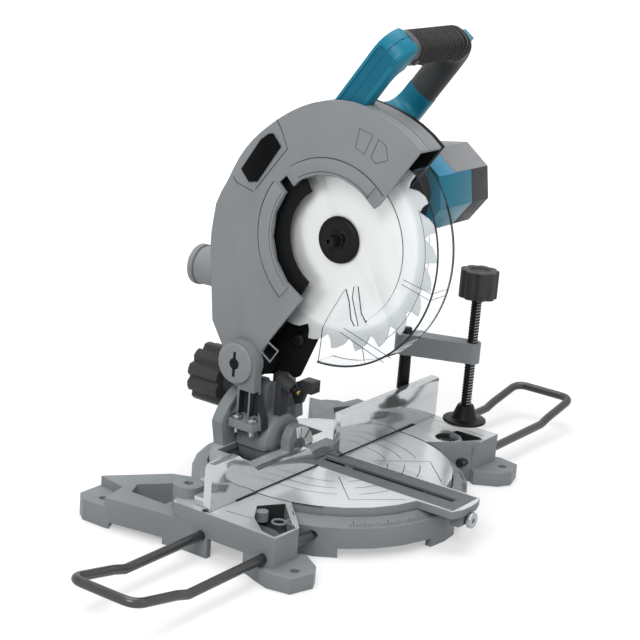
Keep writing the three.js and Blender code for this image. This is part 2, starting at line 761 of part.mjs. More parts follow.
// A U-shaped bar that slides out of a wing and kinks up at its end
function extensionBar(side) {
  const drawn = side > 0 ? BAR_DRAWN_RIGHT : 0;
  const end = BAR_TIP - BAR_RADIUS;
  const high = BAR_TIP_Z - BAR_RADIUS;
  const corner = 3 * BAR_RADIUS;
  const limb = (y, inward) => {
    const bendCentre = [end - corner, y + inward * corner];
    const bend = [90, 60, 30, 0].map((degrees) => polar(corner, -inward * degrees, ...bendCentre));
    return [
      [BAR_INNER_END, y, BAR_Z],
      [BAR_KINK - corner, y, BAR_Z],
      [BAR_KINK, y, BAR_Z + BAR_RADIUS / 4],
      [BAR_KINK + corner, y, BAR_Z + (high - BAR_Z) / 4],
      ...bend.map(([x, yy], i) => [x, yy, i === 0 ? high - BAR_RADIUS / 4 : high]),
    ];
  };
  const rear = limb(BAR_REAR, -1);
  const front = limb(-BAR_FRONT, 1).reverse();
  const places = [...rear, ...front].map(([x, y, z]) => new THREE.Vector3(side * (x + drawn), y, z));
  return bentBar(places, BAR_RADIUS, TINY);
}

// The fence: two faces in one casting, joined behind the blade
function fence() {
  const seat = TABLE_TOP + GAP;
  const left = frontPlate(
    [
      [-FENCE_LEFT_END, seat],
      [-FENCE_LEFT_END, FENCE_HIGH - FENCE_CHAMFER],
      [-FENCE_LEFT_END + FENCE_CHAMFER, FENCE_HIGH],
      [-FENCE_LEFT_STEP, FENCE_HIGH],
      [-FENCE_LEFT_DROP, FENCE_LOW],
      [-FENCE_LEFT_INNER, FENCE_LOW],
      [-FENCE_MOUTH_LEFT, seat],
    ],
    0,
    FENCE_THICK,
  );
  const right = frontPlate(
    [
      [FENCE_MOUTH_RIGHT, seat],
      [FENCE_MOUTH_RIGHT, FENCE_HIGH],
      [WING_REACH - FENCE_CHAMFER, FENCE_HIGH],
      [WING_REACH, FENCE_HIGH - FENCE_CHAMFER],
      [WING_REACH, seat],
    ],
    0,
    FENCE_THICK,
  );
  const bridge = slab(
    [
      [-FENCE_LEFT_INNER, FENCE_THICK / 2],
      [-FENCE_BRIDGE_FRONT, FENCE_BRIDGE_FRONT],
      [FENCE_MOUTH_RIGHT, FENCE_BRIDGE_FRONT],
      [FENCE_MOUTH_RIGHT, FENCE_THICK / 2],
      [FENCE_BACK, FENCE_THICK / 2],
      [FENCE_BACK, FENCE_BACK],
      [-FENCE_BOSS_X - FENCE_THICK / 2, FENCE_BACK],
      [-FENCE_LEFT_INNER + FENCE_THICK, FENCE_BACK - FENCE_CHAMFER],
      [-FENCE_LEFT_INNER + FENCE_CHAMFER, 2 * FENCE_THICK],
    ],
    seat,
    FENCE_BRIDGE_TOP,
  );
  const boss = barZ(FENCE_BOSS_RADIUS, seat, FENCE_BRIDGE_TOP, -FENCE_BOSS_X, FENCE_BOSS_Y);
  const feet = [-1, 1].map((side) =>
    block(
      side * FENCE_FOOT_X - FENCE_FOOT_HALF,
      side * FENCE_FOOT_X + FENCE_FOOT_HALF,
      FENCE_THICK / 2,
      FENCE_FOOT_DEPTH,
      seat,
      FENCE_FOOT_TOP,
    ),
  );
  const footHoles = [-1, 1].map((side) =>
    barZ(FENCE_BOLT + GAP, TABLE_TOP, FENCE_HIGH, side * FENCE_FOOT_X, FENCE_BOLT_Y, SMALL),
  );
  const bossHole = barZ(
    FENCE_BOLT,
    FENCE_BRIDGE_TOP - FENCE_BOSS_RADIUS,
    FENCE_BRIDGE_TOP + OVERRUN,
    -FENCE_BOSS_X,
    FENCE_BOSS_Y,
    SMALL,
  );
  const postNotch = barZ(POST_RADIUS + 2 * GAP, TABLE_TOP, FENCE_HIGH, POST_X, POST_Y, SMALL);
  return cut(join(left, right, bridge, boss, ...feet), ...footHoles, bossHole, postNotch);
}

// A socket-head screw standing on a seat, its shank going down
function socketScrew(radius, length, x, y, seat) {
  const head = turnedZ([
    [0, seat - length],
    [radius, seat - length],
    [radius, seat],
    [1.7 * radius, seat],
    [1.7 * radius, seat + 1.2 * radius],
    [0.9 * radius, seat + 1.2 * radius],
    [0.9 * radius, seat + 0.5 * radius],
    [0, seat + 0.5 * radius],
  ], TINY);
  return head.translate(x, y, 0);
}

// The turntable: machined disc, arm, rear bracket, with its trough and window
const ARM_NOSE = 5;
const LUG_SLOPE = 4;
const HUB_STEP = 2;
const INSET = 1;

function turntable() {
  const under = LEDGE_TOP + GAP;
  const disc = turnedZ(
    [
      [0, TABLE_TOP - TABLE_THICK],
      [TABLE_RADIUS - 2 * TABLE_THICK, TABLE_TOP - TABLE_THICK],
      [TABLE_RADIUS - 2 * TABLE_THICK, under],
      [TABLE_RADIUS, under],
      [TABLE_RADIUS, TABLE_TOP],
      [0, TABLE_TOP],
    ],
    FINE,
  );
  const hub = barZ(PIVOT_BOSS - HUB_STEP, WEB_TOP + WEB_THICK + GAP, TABLE_TOP - TABLE_THICK / 2);
  const arm = slab(
    [
      [-ARM_HALF, -LEDGE_RADIUS],
      [ARM_HALF, -LEDGE_RADIUS],
      [ARM_HALF - ARM_NOSE / 5, -ARM_TIP + ARM_NOSE],
      [ARM_HALF / 2, -ARM_TIP + ARM_NOSE / 5],
      [0, -ARM_TIP],
      [-ARM_HALF / 2, -ARM_TIP + ARM_NOSE / 5],
      [-ARM_HALF + ARM_NOSE / 5, -ARM_TIP + ARM_NOSE],
    ],
    ARM_UNDER,
    TABLE_TOP,
  );
  const lug = sidePlate(
    [
      [-ARM_TIP + LUG_SLOPE / 2, ARM_UNDER + HUB_STEP],
      [-ARM_TIP + LUG_SLOPE / 2 + INSET, LUG_BOTTOM + HUB_STEP],
      [-ARM_TIP + LUG_SLOPE + HUB_STEP, LUG_BOTTOM],
      [-LUG_BACK - LUG_SLOPE, LUG_BOTTOM],
      [-LUG_BACK, ARM_UNDER + HUB_STEP],
    ],
    -LUG_HALF,
    LUG_HALF,
  );
  const bracket = frontPlate(bracketOutline(), BRACKET_FRONT, BRACKET_REAR);
  const lugFront = frontPlate(pinLugOutline(), LUG_FRONT, LUG_REAR);
  const walls = [-1, 1].map((side) =>
    block(
      side * WINDOW_HALF - TABLE_THICK / 2,
      side * WINDOW_HALF + TABLE_THICK / 2,
      WINDOW_FRONT,
      WINDOW_REAR,
      under,
      TABLE_TOP - INSET,
    ),
  );
  const blank = join(disc, hub, arm, lug, bracket, lugFront, ...walls);
  const recess = block(
    -INSERT_HALF,
    INSERT_HALF,
    -INSERT_FRONT,
    INSERT_REAR,
    TABLE_TOP - INSERT_THICK,
    TABLE_TOP + OVERRUN,
  );
  const trough = block(-TROUGH_HALF, TROUGH_HALF, -LEDGE_RADIUS + OVERRUN, -TROUGH_REAR, 0, TABLE_TOP);
  const shelf = block(-TROUGH_HALF, TROUGH_HALF, -SLOT_FRONT - HUB_STEP, -LEDGE_RADIUS, SHELF_Z, TABLE_TOP);
  const slotLow = SHELF_Z + INSET;
  const slotBack = block(-SLOT_LEFT, SLOT_RIGHT, -TROUGH_REAR - OVERRUN, SLOT_REAR, slotLow, TABLE_TOP);
  const window = block(
    -WINDOW_HALF + TABLE_THICK / 2,
    WINDOW_HALF - TABLE_THICK / 2,
    WINDOW_FRONT,
    WINDOW_REAR,
    under - OVERRUN,
    TABLE_TOP + OVERRUN,
  );
  const pivotHole = barZ(PIVOT_BOLT + GAP, 0, TABLE_TOP, 0, 0, SMALL);
  const headHole = barZ(1.7 * PIVOT_BOLT + GAP, TABLE_TOP - 2 * TABLE_THICK, TABLE_TOP);
  const lockHole = barY(LOCK_RADIUS + GAP, -ARM_TIP - OVERRUN, -LUG_BACK + OVERRUN, 0, LOCK_Z, SMALL);
  const pinHole = barY(BEVEL_PIN + GAP, LUG_FRONT, BRACKET_REAR + OVERRUN, 0, TABLE_TOP);
  const nutRoom = block(-BRACKET_HALF, BRACKET_HALF, BRACKET_REAR, SKIRT_RADIUS, 0, TABLE_TOP + OVERRUN);
  const holes = [pivotHole, headHole, lockHole, pinHole, bevelSlot()];
  return cut(blank, nutRoom, recess, trough, shelf, slotBack, window, ...holes);
}

// The lug in front of the window: it holds the bevel pin and the bevel scale
function pinLugOutline() {
  const half = BEVEL_PIN + TABLE_THICK;
  return [
    [SCALE_RADIUS, LEDGE_TOP + GAP],
    ...arc(SCALE_RADIUS, 0, 108, SMALL, 0, TABLE_TOP),
    [-half, TABLE_TOP + half],
    [-half, LEDGE_TOP + GAP],
  ];
}

// The upright behind the window: a quadrant about the bevel axis
function bracketOutline() {
  return [
    [BRACKET_HALF, LEDGE_TOP + GAP],
    ...arc(BRACKET_RADIUS, 70, 90 + BEVEL_TRAVEL + 20, SMALL, 0, TABLE_TOP),
    [-BRACKET_HALF, LEDGE_TOP + GAP],
  ];
}

function bevelSlot() {
  const inner = BEVEL_SLOT - BEVEL_SLOT_HALF;
  const outer = BEVEL_SLOT + BEVEL_SLOT_HALF;
  const end = 90 + BEVEL_TRAVEL;
  const startCentre = polar(BEVEL_SLOT, 90, 0, TABLE_TOP);
  const endCentre = polar(BEVEL_SLOT, end, 0, TABLE_TOP);
  const points = [
    ...arc(outer, 90, end, SMALL, 0, TABLE_TOP),
    ...arc(BEVEL_SLOT_HALF, end, end + 180, SMALL / 2, ...endCentre).slice(1, -1),
    ...arc(inner, end, 90, SMALL, 0, TABLE_TOP),
    ...arc(BEVEL_SLOT_HALF, 270, 450, SMALL / 2, ...startCentre).slice(1, -1),
  ];
  return frontPlate(points, BRACKET_FRONT - OVERRUN, BRACKET_REAR + OVERRUN);
}

// The plastic kerf insert with its slot and screw holes
const INSERT_SCREW = 1.6;
const INSERT_MARGIN = 6;
const INSERT_TIE = 4;
const INSERT_SCREW_X = INSERT_HALF - INSERT_MARGIN;
const INSERT_SCREWS = [
  [-1, INSERT_FRONT - INSERT_MARGIN - INSERT_SCREW],
  [1, INSERT_FRONT - INSERT_MARGIN - INSERT_SCREW],
];

function kerfInsert() {
  const low = TABLE_TOP - INSERT_THICK + GAP;
  const high = TABLE_TOP - GAP;
  const plate = block(
    -INSERT_HALF + GAP,
    INSERT_HALF - GAP,
    -INSERT_FRONT + GAP,
    INSERT_REAR - GAP,
    low,
    high,
  );
  const slot = block(-SLOT_LEFT, SLOT_RIGHT, -SLOT_FRONT, INSERT_REAR, low - OVERRUN, high + OVERRUN);
  const holes = INSERT_SCREWS.map(([side, y]) =>
    barZ(INSERT_SCREW + GAP, low - OVERRUN, high + OVERRUN, side * INSERT_SCREW_X, -y, SMALL),
  );
  const tieFront = INSERT_REAR - INSERT_TIE;
  const tie = block(-SLOT_LEFT - INSET, SLOT_RIGHT + INSET, tieFront, INSERT_REAR - GAP, low, high);
  return join(cut(plate, slot, ...holes), tie);
}

function insertScrew(side, y) {
  const low = TABLE_TOP - INSERT_THICK + GAP;
  return barZ(INSERT_SCREW, low, TABLE_TOP - 2 * GAP, side * INSERT_SCREW_X, -y, SMALL);
}

// The bolt that the turntable swings on, with its head in the table and a nut below the web
const PIVOT_NUT = 6;

function pivotBolt() {
  const seat = TABLE_TOP - 2 * TABLE_THICK + GAP;
  const end = WEB_TOP - WEB_THICK - PIVOT_NUT - INSET;
  const top = TABLE_TOP - INSERT_THICK - 4 * GAP;
  return turnedZ([
    [0, end],
    [PIVOT_BOLT, end],
    [PIVOT_BOLT, seat],
    [1.7 * PIVOT_BOLT, seat],
    [1.7 * PIVOT_BOLT, top],
    [0, top],
  ], SMALL);
}

function hexNut(radius, bore, thick) {
  const shape = outline(arc(radius, 0, 300, 5));
  const rim = arc(bore, 360 / SMALL, 360, SMALL - 1);
  shape.holes.push(new THREE.Path(rim.map(([u, v]) => new THREE.Vector2(u, v))));
  return extrude(shape, thick);
}

// The screw in the arm's lug that clamps the turntable to the base
function mitreLock() {
  const shank = barY(LOCK_RADIUS, -ARM_TIP, -SKIRT_RADIUS - 4 * GAP, 0, LOCK_Z, SMALL);
  const socketEnd = -LOCK_END + HUB_STEP;
  const head = cut(
    barY(LOCK_BOSS, -LOCK_END, -ARM_TIP - GAP, 0, LOCK_Z),
    barY(LOCK_RADIUS / 2, -LOCK_END - OVERRUN, socketEnd, 0, LOCK_Z, HEX),
  );
  return join(shank, head, barY(LOCK_RADIUS, socketEnd + INSET / 2, -ARM_TIP + INSET, 0, LOCK_Z, SMALL));
}

// The bevel arm: hub on the bevel axis, column, and two cheeks that hold the head's pin
const CHEEK_STEP = 6;
const COLUMN_EDGE = 4;
const FLANGE_TALL = 8;

function cheekOutline() {
  return [
    [HUB_FRONT + COLUMN_EDGE, TABLE_TOP + BEVEL_HUB / 2],
    [HUB_FRONT + CHEEK_STEP, TABLE_TOP + BEVEL_HUB + CHEEK_STEP],
    [PIVOT_Y - CHEEK_RADIUS - INSET, PIVOT_Z - CHEEK_RADIUS - CHEEK_STEP],
    ...arc(CHEEK_RADIUS, 190, -20, SMALL, PIVOT_Y, PIVOT_Z),
    [PIVOT_Y + CHEEK_RADIUS / 2, PIVOT_Z - CHEEK_RADIUS + CHEEK_STEP / 2],
    [ARM_REAR, PIVOT_Z - CHEEK_RADIUS - INSET],
    [ARM_REAR, TABLE_TOP + BEVEL_HUB / 2],
  ];
}

function bevelArm() {
  const drum = (radius) =>
    turned(
      [
        [0, HUB_FRONT],
        [radius - HUB_ROUNDING, HUB_FRONT],
        [radius - HUB_ROUNDING / 4, HUB_FRONT + HUB_ROUNDING / 3],
        [radius, HUB_FRONT + HUB_ROUNDING],
        [radius, ARM_REAR],
        [0, ARM_REAR],
      ],
      FINE / 2,
    ).translate(0, 0, TABLE_TOP);
  const upper = block(-HUB_DOME, HUB_DOME, 0, PIVOT_Y, TABLE_TOP, PIVOT_Z);
  const hub = join(drum(BEVEL_HUB), common(drum(HUB_DOME), upper));
  const column = frontPlate(
    [
      [-BEVEL_HUB + COLUMN_EDGE, TABLE_TOP],
      [BEVEL_HUB - COLUMN_EDGE, TABLE_TOP],
      [CHEEK_OUTER, FLANGE_LOW],
      [CHEEK_OUTER, COLUMN_TOP],
      [-CHEEK_OUTER, COLUMN_TOP],
      [-CHEEK_OUTER, FLANGE_LOW],
    ],
    COLUMN_FRONT,
    ARM_REAR,
  );
  const above = FLANGE_LOW;
  const cheekBlock = block(-WING_REAR, WING_REAR, 0, 2 * PIVOT_Y, above, 2 * PIVOT_Z);
  const cheeks = [-CHEEK_OUTER, CHEEK_INNER].map((left) =>
    common(sidePlate(cheekOutline(), left, left + CHEEK_OUTER - CHEEK_INNER), cheekBlock),
  );
  const flange = block(
    -CHEEK_OUTER - FLANGE_REACH,
    INSET - CHEEK_OUTER,
    COLUMN_FRONT - CHEEK_STEP / 2,
    ARM_REAR,
    above,
    above + FLANGE_TALL,
  );
  const pocketDepth = FLANGE_TALL;
  const pocketLow = above + FLANGE_TALL + HUB_STEP;
  const pocketTop = PIVOT_Z - CHEEK_RADIUS - CHEEK_STEP / 2;
  const pocketWide = (ARM_REAR - COLUMN_FRONT) * 0.43;
  const pitch = pocketWide + HUB_STEP;
  const pockets = [0, 1].map((i) => {
    const front = COLUMN_FRONT - INSET + i * pitch;
    return sidePlate(
      [
        [front, pocketLow],
        [front + pocketWide, pocketLow],
        [front + pocketWide, pocketTop],
        [front + (1 - i) * CHEEK_STEP, pocketTop],
        [front, pocketTop - (1 - i) * FLANGE_TALL],
      ],
      -CHEEK_OUTER - OVERRUN,
      -CHEEK_OUTER + pocketDepth,
    );
  });
  const lugFront = COLUMN_FRONT + BEVEL_LUG;
  const lug = join(
    barY(BEVEL_LUG, lugFront, ARM_REAR, 0, TABLE_TOP + BEVEL_SLOT),
    block(-BEVEL_LUG, BEVEL_LUG, lugFront, ARM_REAR, COLUMN_TOP - BEVEL_LUG, TABLE_TOP + BEVEL_SLOT),
  );
  const pinHole = barX(PIVOT_PIN + GAP, -2 * CHEEK_OUTER, 2 * CHEEK_OUTER, PIVOT_Y, PIVOT_Z);
  const bevelPinHole = barY(BEVEL_PIN + GAP, HUB_FRONT - OVERRUN, ARM_REAR + OVERRUN, 0, TABLE_TOP);
  const boltZ = TABLE_TOP + BEVEL_SLOT;
  const boltHole = barY(BEVEL_BOLT + GAP, lugFront + HUB_STEP, ARM_REAR + OVERRUN, 0, boltZ, SMALL);
  const holeTop = above + FLANGE_TALL + OVERRUN;
  const stopHoles = STOP_SCREWS.map((y) =>
    barZ(STOP_SCREW + GAP, above - OVERRUN, holeTop, -STOP_SCREW_X, y, SMALL),
  );
  const body = join(hub, column, ...cheeks, lug, flange);
  return cut(body, ...pockets, pinHole, bevelPinHole, boltHole, headSweep(), ...stopHoles);
}

// Two screws in the flange set where the bevel stops
const STOP_SCREW = 3;
const STOP_SCREW_LONG = 14;
const STOP_SCREWS = [COLUMN_FRONT + HUB_STEP, ARM_REAR - 2 * STOP_SCREW];
const FLANGE_REACH = 11;
const STOP_SCREW_X = CHEEK_OUTER + FLANGE_REACH / 2;
const FLANGE_LOW = TABLE_TOP + BEVEL_HUB - CHEEK_STEP;

function stopScrew(y) {
  const seat = FLANGE_LOW + FLANGE_TALL + GAP;
  return socketScrew(STOP_SCREW, STOP_SCREW_LONG, -STOP_SCREW_X, y, seat);
}

// The room that the head's hub swings in, between the cheeks
function headSweep() {
  return barX(HEAD_HUB + HUB_STEP, -CHEEK_INNER, CHEEK_INNER, PIVOT_Y, PIVOT_Z);
}

// The shaft on the bevel axis, from the hub out through the bracket, with a nut behind
function bevelPin() {
  return barY(BEVEL_PIN, LUG_FRONT + INSET, BRACKET_REAR + NUT_THICK + INSET, 0, TABLE_TOP);
}

const NUT_RADIUS = 13;
const NUT_THICK = 8;

function bevelNut() {
  const nut = hexNut(NUT_RADIUS, BEVEL_PIN + GAP, NUT_THICK).rotateX(Math.PI / 2);
  return nut.translate(0, BRACKET_REAR + NUT_THICK + GAP, TABLE_TOP);
}

// Lock knob on the bolt through the quadrant's slot
const KNOB_FLUTES = 10;
const FLUTE_STEPS = 4;
const KNOB_SKIN = 6;

function bevelKnob() {
  const shape = flutedOutline(BEVEL_KNOB_RADIUS, KNOB_FLUTES, BEVEL_KNOB_RADIUS / 6, FLUTE_STEPS);
  const knob = extrude(outline(shape), BEVEL_KNOB_REAR - BEVEL_KNOB_FRONT);
  const spacer = turned([
    [BEVEL_BOLT + GAP, BRACKET_REAR + GAP],
    [BEVEL_KNOB_RADIUS / 2, BRACKET_REAR + GAP],
    [BEVEL_KNOB_RADIUS * 0.6, BEVEL_KNOB_FRONT + INSET],
    [BEVEL_BOLT + GAP, BEVEL_KNOB_FRONT + INSET],
  ]);
  const z = TABLE_TOP + BEVEL_SLOT;
  const body = knob.rotateX(Math.PI / 2).translate(0, BEVEL_KNOB_REAR, 0);
  const bore = barY(BEVEL_BOLT + GAP, BEVEL_KNOB_FRONT - OVERRUN, BEVEL_KNOB_REAR - KNOB_SKIN, 0, 0, SMALL);
  const dish = turned([
    [0, BEVEL_KNOB_REAR - KNOB_SKIN / 2],
    [BEVEL_KNOB_RADIUS * 0.6, BEVEL_KNOB_REAR - KNOB_SKIN / 3],
    [BEVEL_KNOB_RADIUS * 0.7, BEVEL_KNOB_REAR + OVERRUN],
    [0, BEVEL_KNOB_REAR + OVERRUN],
  ]);
  return join(cut(body, bore, dish), spacer).translate([0, 0, z]);
}

function bevelBolt() {
  const z = TABLE_TOP + BEVEL_SLOT;
  const head = COLUMN_FRONT + BEVEL_LUG + LUG_SLOPE;
  return barY(BEVEL_BOLT, head, BEVEL_KNOB_REAR - KNOB_SKIN - INSET, 0, z, SMALL);
}

// White scale of the bevel angle, on the front of the lug
function bevelScale() {
  const plate = [
    ...arc(SCALE_RADIUS - INSET, 6, 104, SMALL, 0, TABLE_TOP),
    ...arc(SCALE_RADIUS / 2, 104, 6, SMALL, 0, TABLE_TOP),
  ];
  return frontPlate(plate, LUG_FRONT - 5 * GAP, LUG_FRONT - GAP);
}

// The head: guard, plate, spindle, gears, motor and handle
function guardReach(degrees) {
  const rise = (guardShares) => {
    for (let i = 1; i < guardShares.length; i++) {
      const [a0, s0] = guardShares[i - 1];
      const [a1, s1] = guardShares[i];
      if (degrees <= a1) {
        const t = (degrees - a0) / (a1 - a0);
        const smooth = t * t * (3 - 2 * t);
        return s0 + (s1 - s0) * smooth;
      }
    }
    return guardShares[guardShares.length - 1][1];
  };
  return GUARD_RADIUS * rise(GUARD_RISE_SHARES);
}

// Outer reach of the guard by angle from the rear, as shares of its least radius
const GUARD_RISE_SHARES = [
  [-14, 1.135],
  [0, 1.09],
  [22, 1.01],
  [50, 1],
  [100, 1.085],
  [132, 1.115],
];
const GUARD_FRONT_ANGLE = 132;
const GUARD_REAR_ANGLE = -13;

function guardTop(extra = 0) {
  const steps = 24;
  return Array.from({ length: steps + 1 }, (_, i) => {
    const degrees = GUARD_REAR_ANGLE + ((GUARD_FRONT_ANGLE - GUARD_REAR_ANGLE) * i) / steps;
    return polar(guardReach(degrees) + extra, degrees, BLADE_Y, BLADE_Z);
  });
}

const MOUTH_FRONT = 52;
const MOUTH_RISE = 45;
const LIP_REAR = 22;
const LIP_DROP = 57;
const LIP_RISE = 28;
const REAR_REACH = 42;
const REAR_RISE = 31;
const REAR_END = 23;
const PLATE_HEEL = 35;
const GUARD_MOUTH = [BLADE_Y - MOUTH_FRONT, BLADE_Z + MOUTH_RISE];
const GUARD_LIP_TOP = [BLADE_Y + LIP_REAR, BLADE_Z - LIP_DROP];
const GUARD_LIP_LOW = [PIVOT_Y - LIP_RISE, PIVOT_Z + LIP_RISE];
const GUARD_REAR_LOW = [PIVOT_Y + REAR_REACH, PIVOT_Z + REAR_RISE];
const GUARD_REAR_END = [PIVOT_Y + REAR_END, PIVOT_Z + INSET];

function guardOutline() {
  return [
    ...guardTop(),
    GUARD_MOUTH,
    ...arc(GUARD_OPEN, 139, -68, FINE / 3, BLADE_Y, BLADE_Z),
    GUARD_LIP_TOP,
    GUARD_LIP_LOW,
    ...arc(CHEEK_RADIUS - INSET, 150, 360, SMALL, PIVOT_Y, PIVOT_Z),
    GUARD_REAR_END,
    GUARD_REAR_LOW,
  ];
}

// The plate's outline fills what the guard leaves open, down to the pivot
function plateOutline() {
  return [
    ...guardTop(),
    GUARD_MOUTH,
    [BLADE_Y - MOUTH_FRONT, BLADE_Z],
    [BLADE_Y - 0.67 * MOUTH_FRONT, BLADE_Z - 0.56 * LIP_DROP],
    [BLADE_Y, BLADE_Z - 0.82 * LIP_DROP],
    [BLADE_Y + LIP_REAR + CHEEK_STEP, BLADE_Z - LIP_DROP - COLUMN_EDGE],
    [PIVOT_Y - PLATE_HEEL, PIVOT_Z - LIP_REAR / 2],
    [PIVOT_Y - CHEEK_RADIUS + HUB_STEP, PIVOT_Z - LIP_REAR / 2 - HUB_STEP],
    ...arc(CHEEK_RADIUS - INSET, 215, 360, SMALL / 2, PIVOT_Y, PIVOT_Z),
    GUARD_REAR_END,
    GUARD_REAR_LOW,
  ];
}

// The slot between the raised bands, for the blade's bolt cover
const KEY_NEAR = 51;
const KEY_HIGH = 54;
const KEY_LONG = 22;
const KEY_WIDE = 8;

function upperGuard() {
  const shell = sidePlate(guardOutline(), -GUARD_LEFT, GUARD_SEAM);
  const inner = [
    ...guardTop(-GUARD_WALL),
    polar(guardReach(GUARD_FRONT_ANGLE) + GUARD_WALL, GUARD_FRONT_ANGLE + 8, BLADE_Y, BLADE_Z),
    [GUARD_MOUTH[0] - 2 * GUARD_WALL, BLADE_Z],
    [GUARD_LIP_TOP[0] - 2 * GUARD_WALL, GUARD_LIP_LOW[1]],
    [GUARD_LIP_LOW[0], PIVOT_Z - CHEEK_RADIUS - GUARD_WALL],
    [PIVOT_Y, PIVOT_Z - CHEEK_RADIUS - GUARD_WALL],
    [GUARD_REAR_END[0] - GUARD_WALL, GUARD_REAR_END[1] - GUARD_WALL],
    [GUARD_REAR_LOW[0] - GUARD_WALL, GUARD_REAR_LOW[1] + INSET],
  ];
  const cavity = sidePlate(inner, -GUARD_LEFT + GUARD_WALL, GUARD_SEAM + OVERRUN);
  const band = (from, to) =>
    sidePlate(
      [
        ...arc(GUARD_BAND, from, to, SMALL, BLADE_Y, BLADE_Z),
        ...arc(GUARD_OPEN, to, from, SMALL, BLADE_Y, BLADE_Z),
      ],
      -GUARD_LEFT - BAND_PROUD,
      -GUARD_LEFT + OVERRUN,
    );
  const notch = sidePlate(
    [
      [BLADE_Y + KEY_NEAR, BLADE_Z + KEY_HIGH],
      [BLADE_Y + KEY_NEAR - KEY_LONG, BLADE_Z + KEY_HIGH - KEY_LONG],
      [BLADE_Y + KEY_NEAR - KEY_LONG + KEY_WIDE, BLADE_Z + KEY_HIGH - KEY_LONG - KEY_WIDE],
      [BLADE_Y + KEY_NEAR + KEY_WIDE, BLADE_Z + KEY_HIGH - KEY_WIDE],
    ],
    -GUARD_LEFT - 2 * BAND_PROUD,
    -GUARD_LEFT + GUARD_WALL + OVERRUN,
  );
  const roomLeft = -GUARD_LEFT + GUARD_WALL;
  const hubRoom = barX(CHEEK_RADIUS + OVERRUN, roomLeft, GUARD_SEAM + OVERRUN, PIVOT_Y, PIVOT_Z);
  const pinHole = barX(PIVOT_PIN + GAP, -WING_REAR, WING_REAR, PIVOT_Y, PIVOT_Z);
  const port = barY(PORT_RADIUS - PORT_WALL, BLADE_Y + LEDGE_RADIUS, PORT_END, PORT_X, PORT_Z);
  const body = join(cut(shell, cavity), band(-52, 36), band(52, 128));
  return cut(body, notch, hubRoom, pinHole, port);
}

// The back plate: closes the guard, carries the spindle and swings on the head's pin
function headPlate() {
  const plate = sidePlate(plateOutline(), PLATE_LEFT, PLATE_RIGHT);
  const boss = barX(AXLE_BOSS, PLATE_LEFT - AXLE_BOSS_DEPTH, PLATE_LEFT + OVERRUN, BLADE_Y, BLADE_Z);
  const hub = barX(HEAD_HUB, -GUARD_LEFT + GUARD_WALL + GAP, CHEEK_INNER - GAP, PIVOT_Y, PIVOT_Z);
  const spindleHole = barX(SPINDLE_RADIUS + GAP, 0, CASE_RIGHT, BLADE_Y, BLADE_Z);
  const pinHole = barX(PIVOT_PIN + GAP, -WING_REAR, WING_REAR, PIVOT_Y, PIVOT_Z);
  return cut(join(plate, boss, hub), spindleHole, pinHole);
}

function pivotPin() {
  const face = -CHEEK_OUTER - GAP - CAP_THICK;
  const cap = turnedX([
    [0, face + 1.5 * INSET],
    [PIVOT_PIN / 2, face + 1.5 * INSET],
    [PIVOT_PIN / 2, face],
    [PIVOT_CAP - INSET, face],
    [PIVOT_CAP, face + INSET],
    [PIVOT_CAP, -CHEEK_OUTER - GAP],
    [PIVOT_PIN, -CHEEK_OUTER - GAP],
    [PIVOT_PIN, CHEEK_OUTER + NUT_THICK + INSET],
    [0, CHEEK_OUTER + NUT_THICK + INSET],
  ]);
  return cap.translate(0, PIVOT_Y, PIVOT_Z);
}

function pivotNut() {
  const basis = hexNut(NUT_RADIUS, PIVOT_PIN + GAP, NUT_THICK).rotateY(Math.PI / 2);
  return basis.translate(CHEEK_OUTER + GAP, PIVOT_Y, PIVOT_Z);
}

// Saw blade with hooked teeth and deep gullets
function blade() {
  const pitch = 360 / BLADE_TEETH;
  const root = BLADE_RADIUS - TOOTH_DEPTH;
  const points = [];
  for (let i = 0; i < BLADE_TEETH; i++) {
    const start = i * pitch;
    points.push(polar(BLADE_RADIUS, start));
    points.push(polar(BLADE_RADIUS - TOOTH_DEPTH * 0.62, start + pitch * 0.06));
    points.push(polar(root, start + pitch * 0.2));
    points.push(polar(BLADE_RADIUS - TOOTH_DEPTH * 0.42, start + pitch * 0.5));
    points.push(polar(BLADE_RADIUS - TOOTH_DEPTH * 0.14, start + pitch * 0.76));
  }
  const shape = outline(points);
  const bore = arc(SPINDLE_RADIUS + GAP, 0, 360 - 360 / ROUND, ROUND - 1);
  shape.holes.push(new THREE.Path(bore.map(([u, v]) => new THREE.Vector2(u, v))));
  return sidePlate(shape, -BLADE_THICK / 2, BLADE_THICK / 2);
}

function outerFlange() {
  const face = -BLADE_THICK / 2 - GAP;
  return turnedX([
    [SPINDLE_RADIUS + GAP, face],
    [FLANGE_RADIUS, face],
    [FLANGE_RADIUS, face - FLANGE_THICK * 0.5],
    [FLANGE_RADIUS - FLANGE_THICK / 2, face - FLANGE_THICK],
    [SPINDLE_RADIUS + GAP, face - FLANGE_THICK],
  ]);
}

function innerFlange() {
  const face = BLADE_THICK / 2 + GAP;
  return turnedX([
    [SPINDLE_RADIUS + GAP, face],
    [FLANGE_RADIUS - INSET, face],
    [FLANGE_RADIUS - INSET, face + FLANGE_THICK - 3 * GAP],
    [SPINDLE_RADIUS + GAP, face + FLANGE_THICK - 3 * GAP],
  ]);
}

function spindle() {
  return turnedX([
    [0, HUB_STEP - BLADE_THICK - FLANGE_THICK],
    [SPINDLE_RADIUS, HUB_STEP - BLADE_THICK - FLANGE_THICK],
    [SPINDLE_RADIUS, CASE_RIGHT - CASE_WALL - INSET],
    [0, CASE_RIGHT - CASE_WALL - INSET],
  ]);
}

const BOLT_RIM = 1.5;
const BOLT_HEAD = 13;

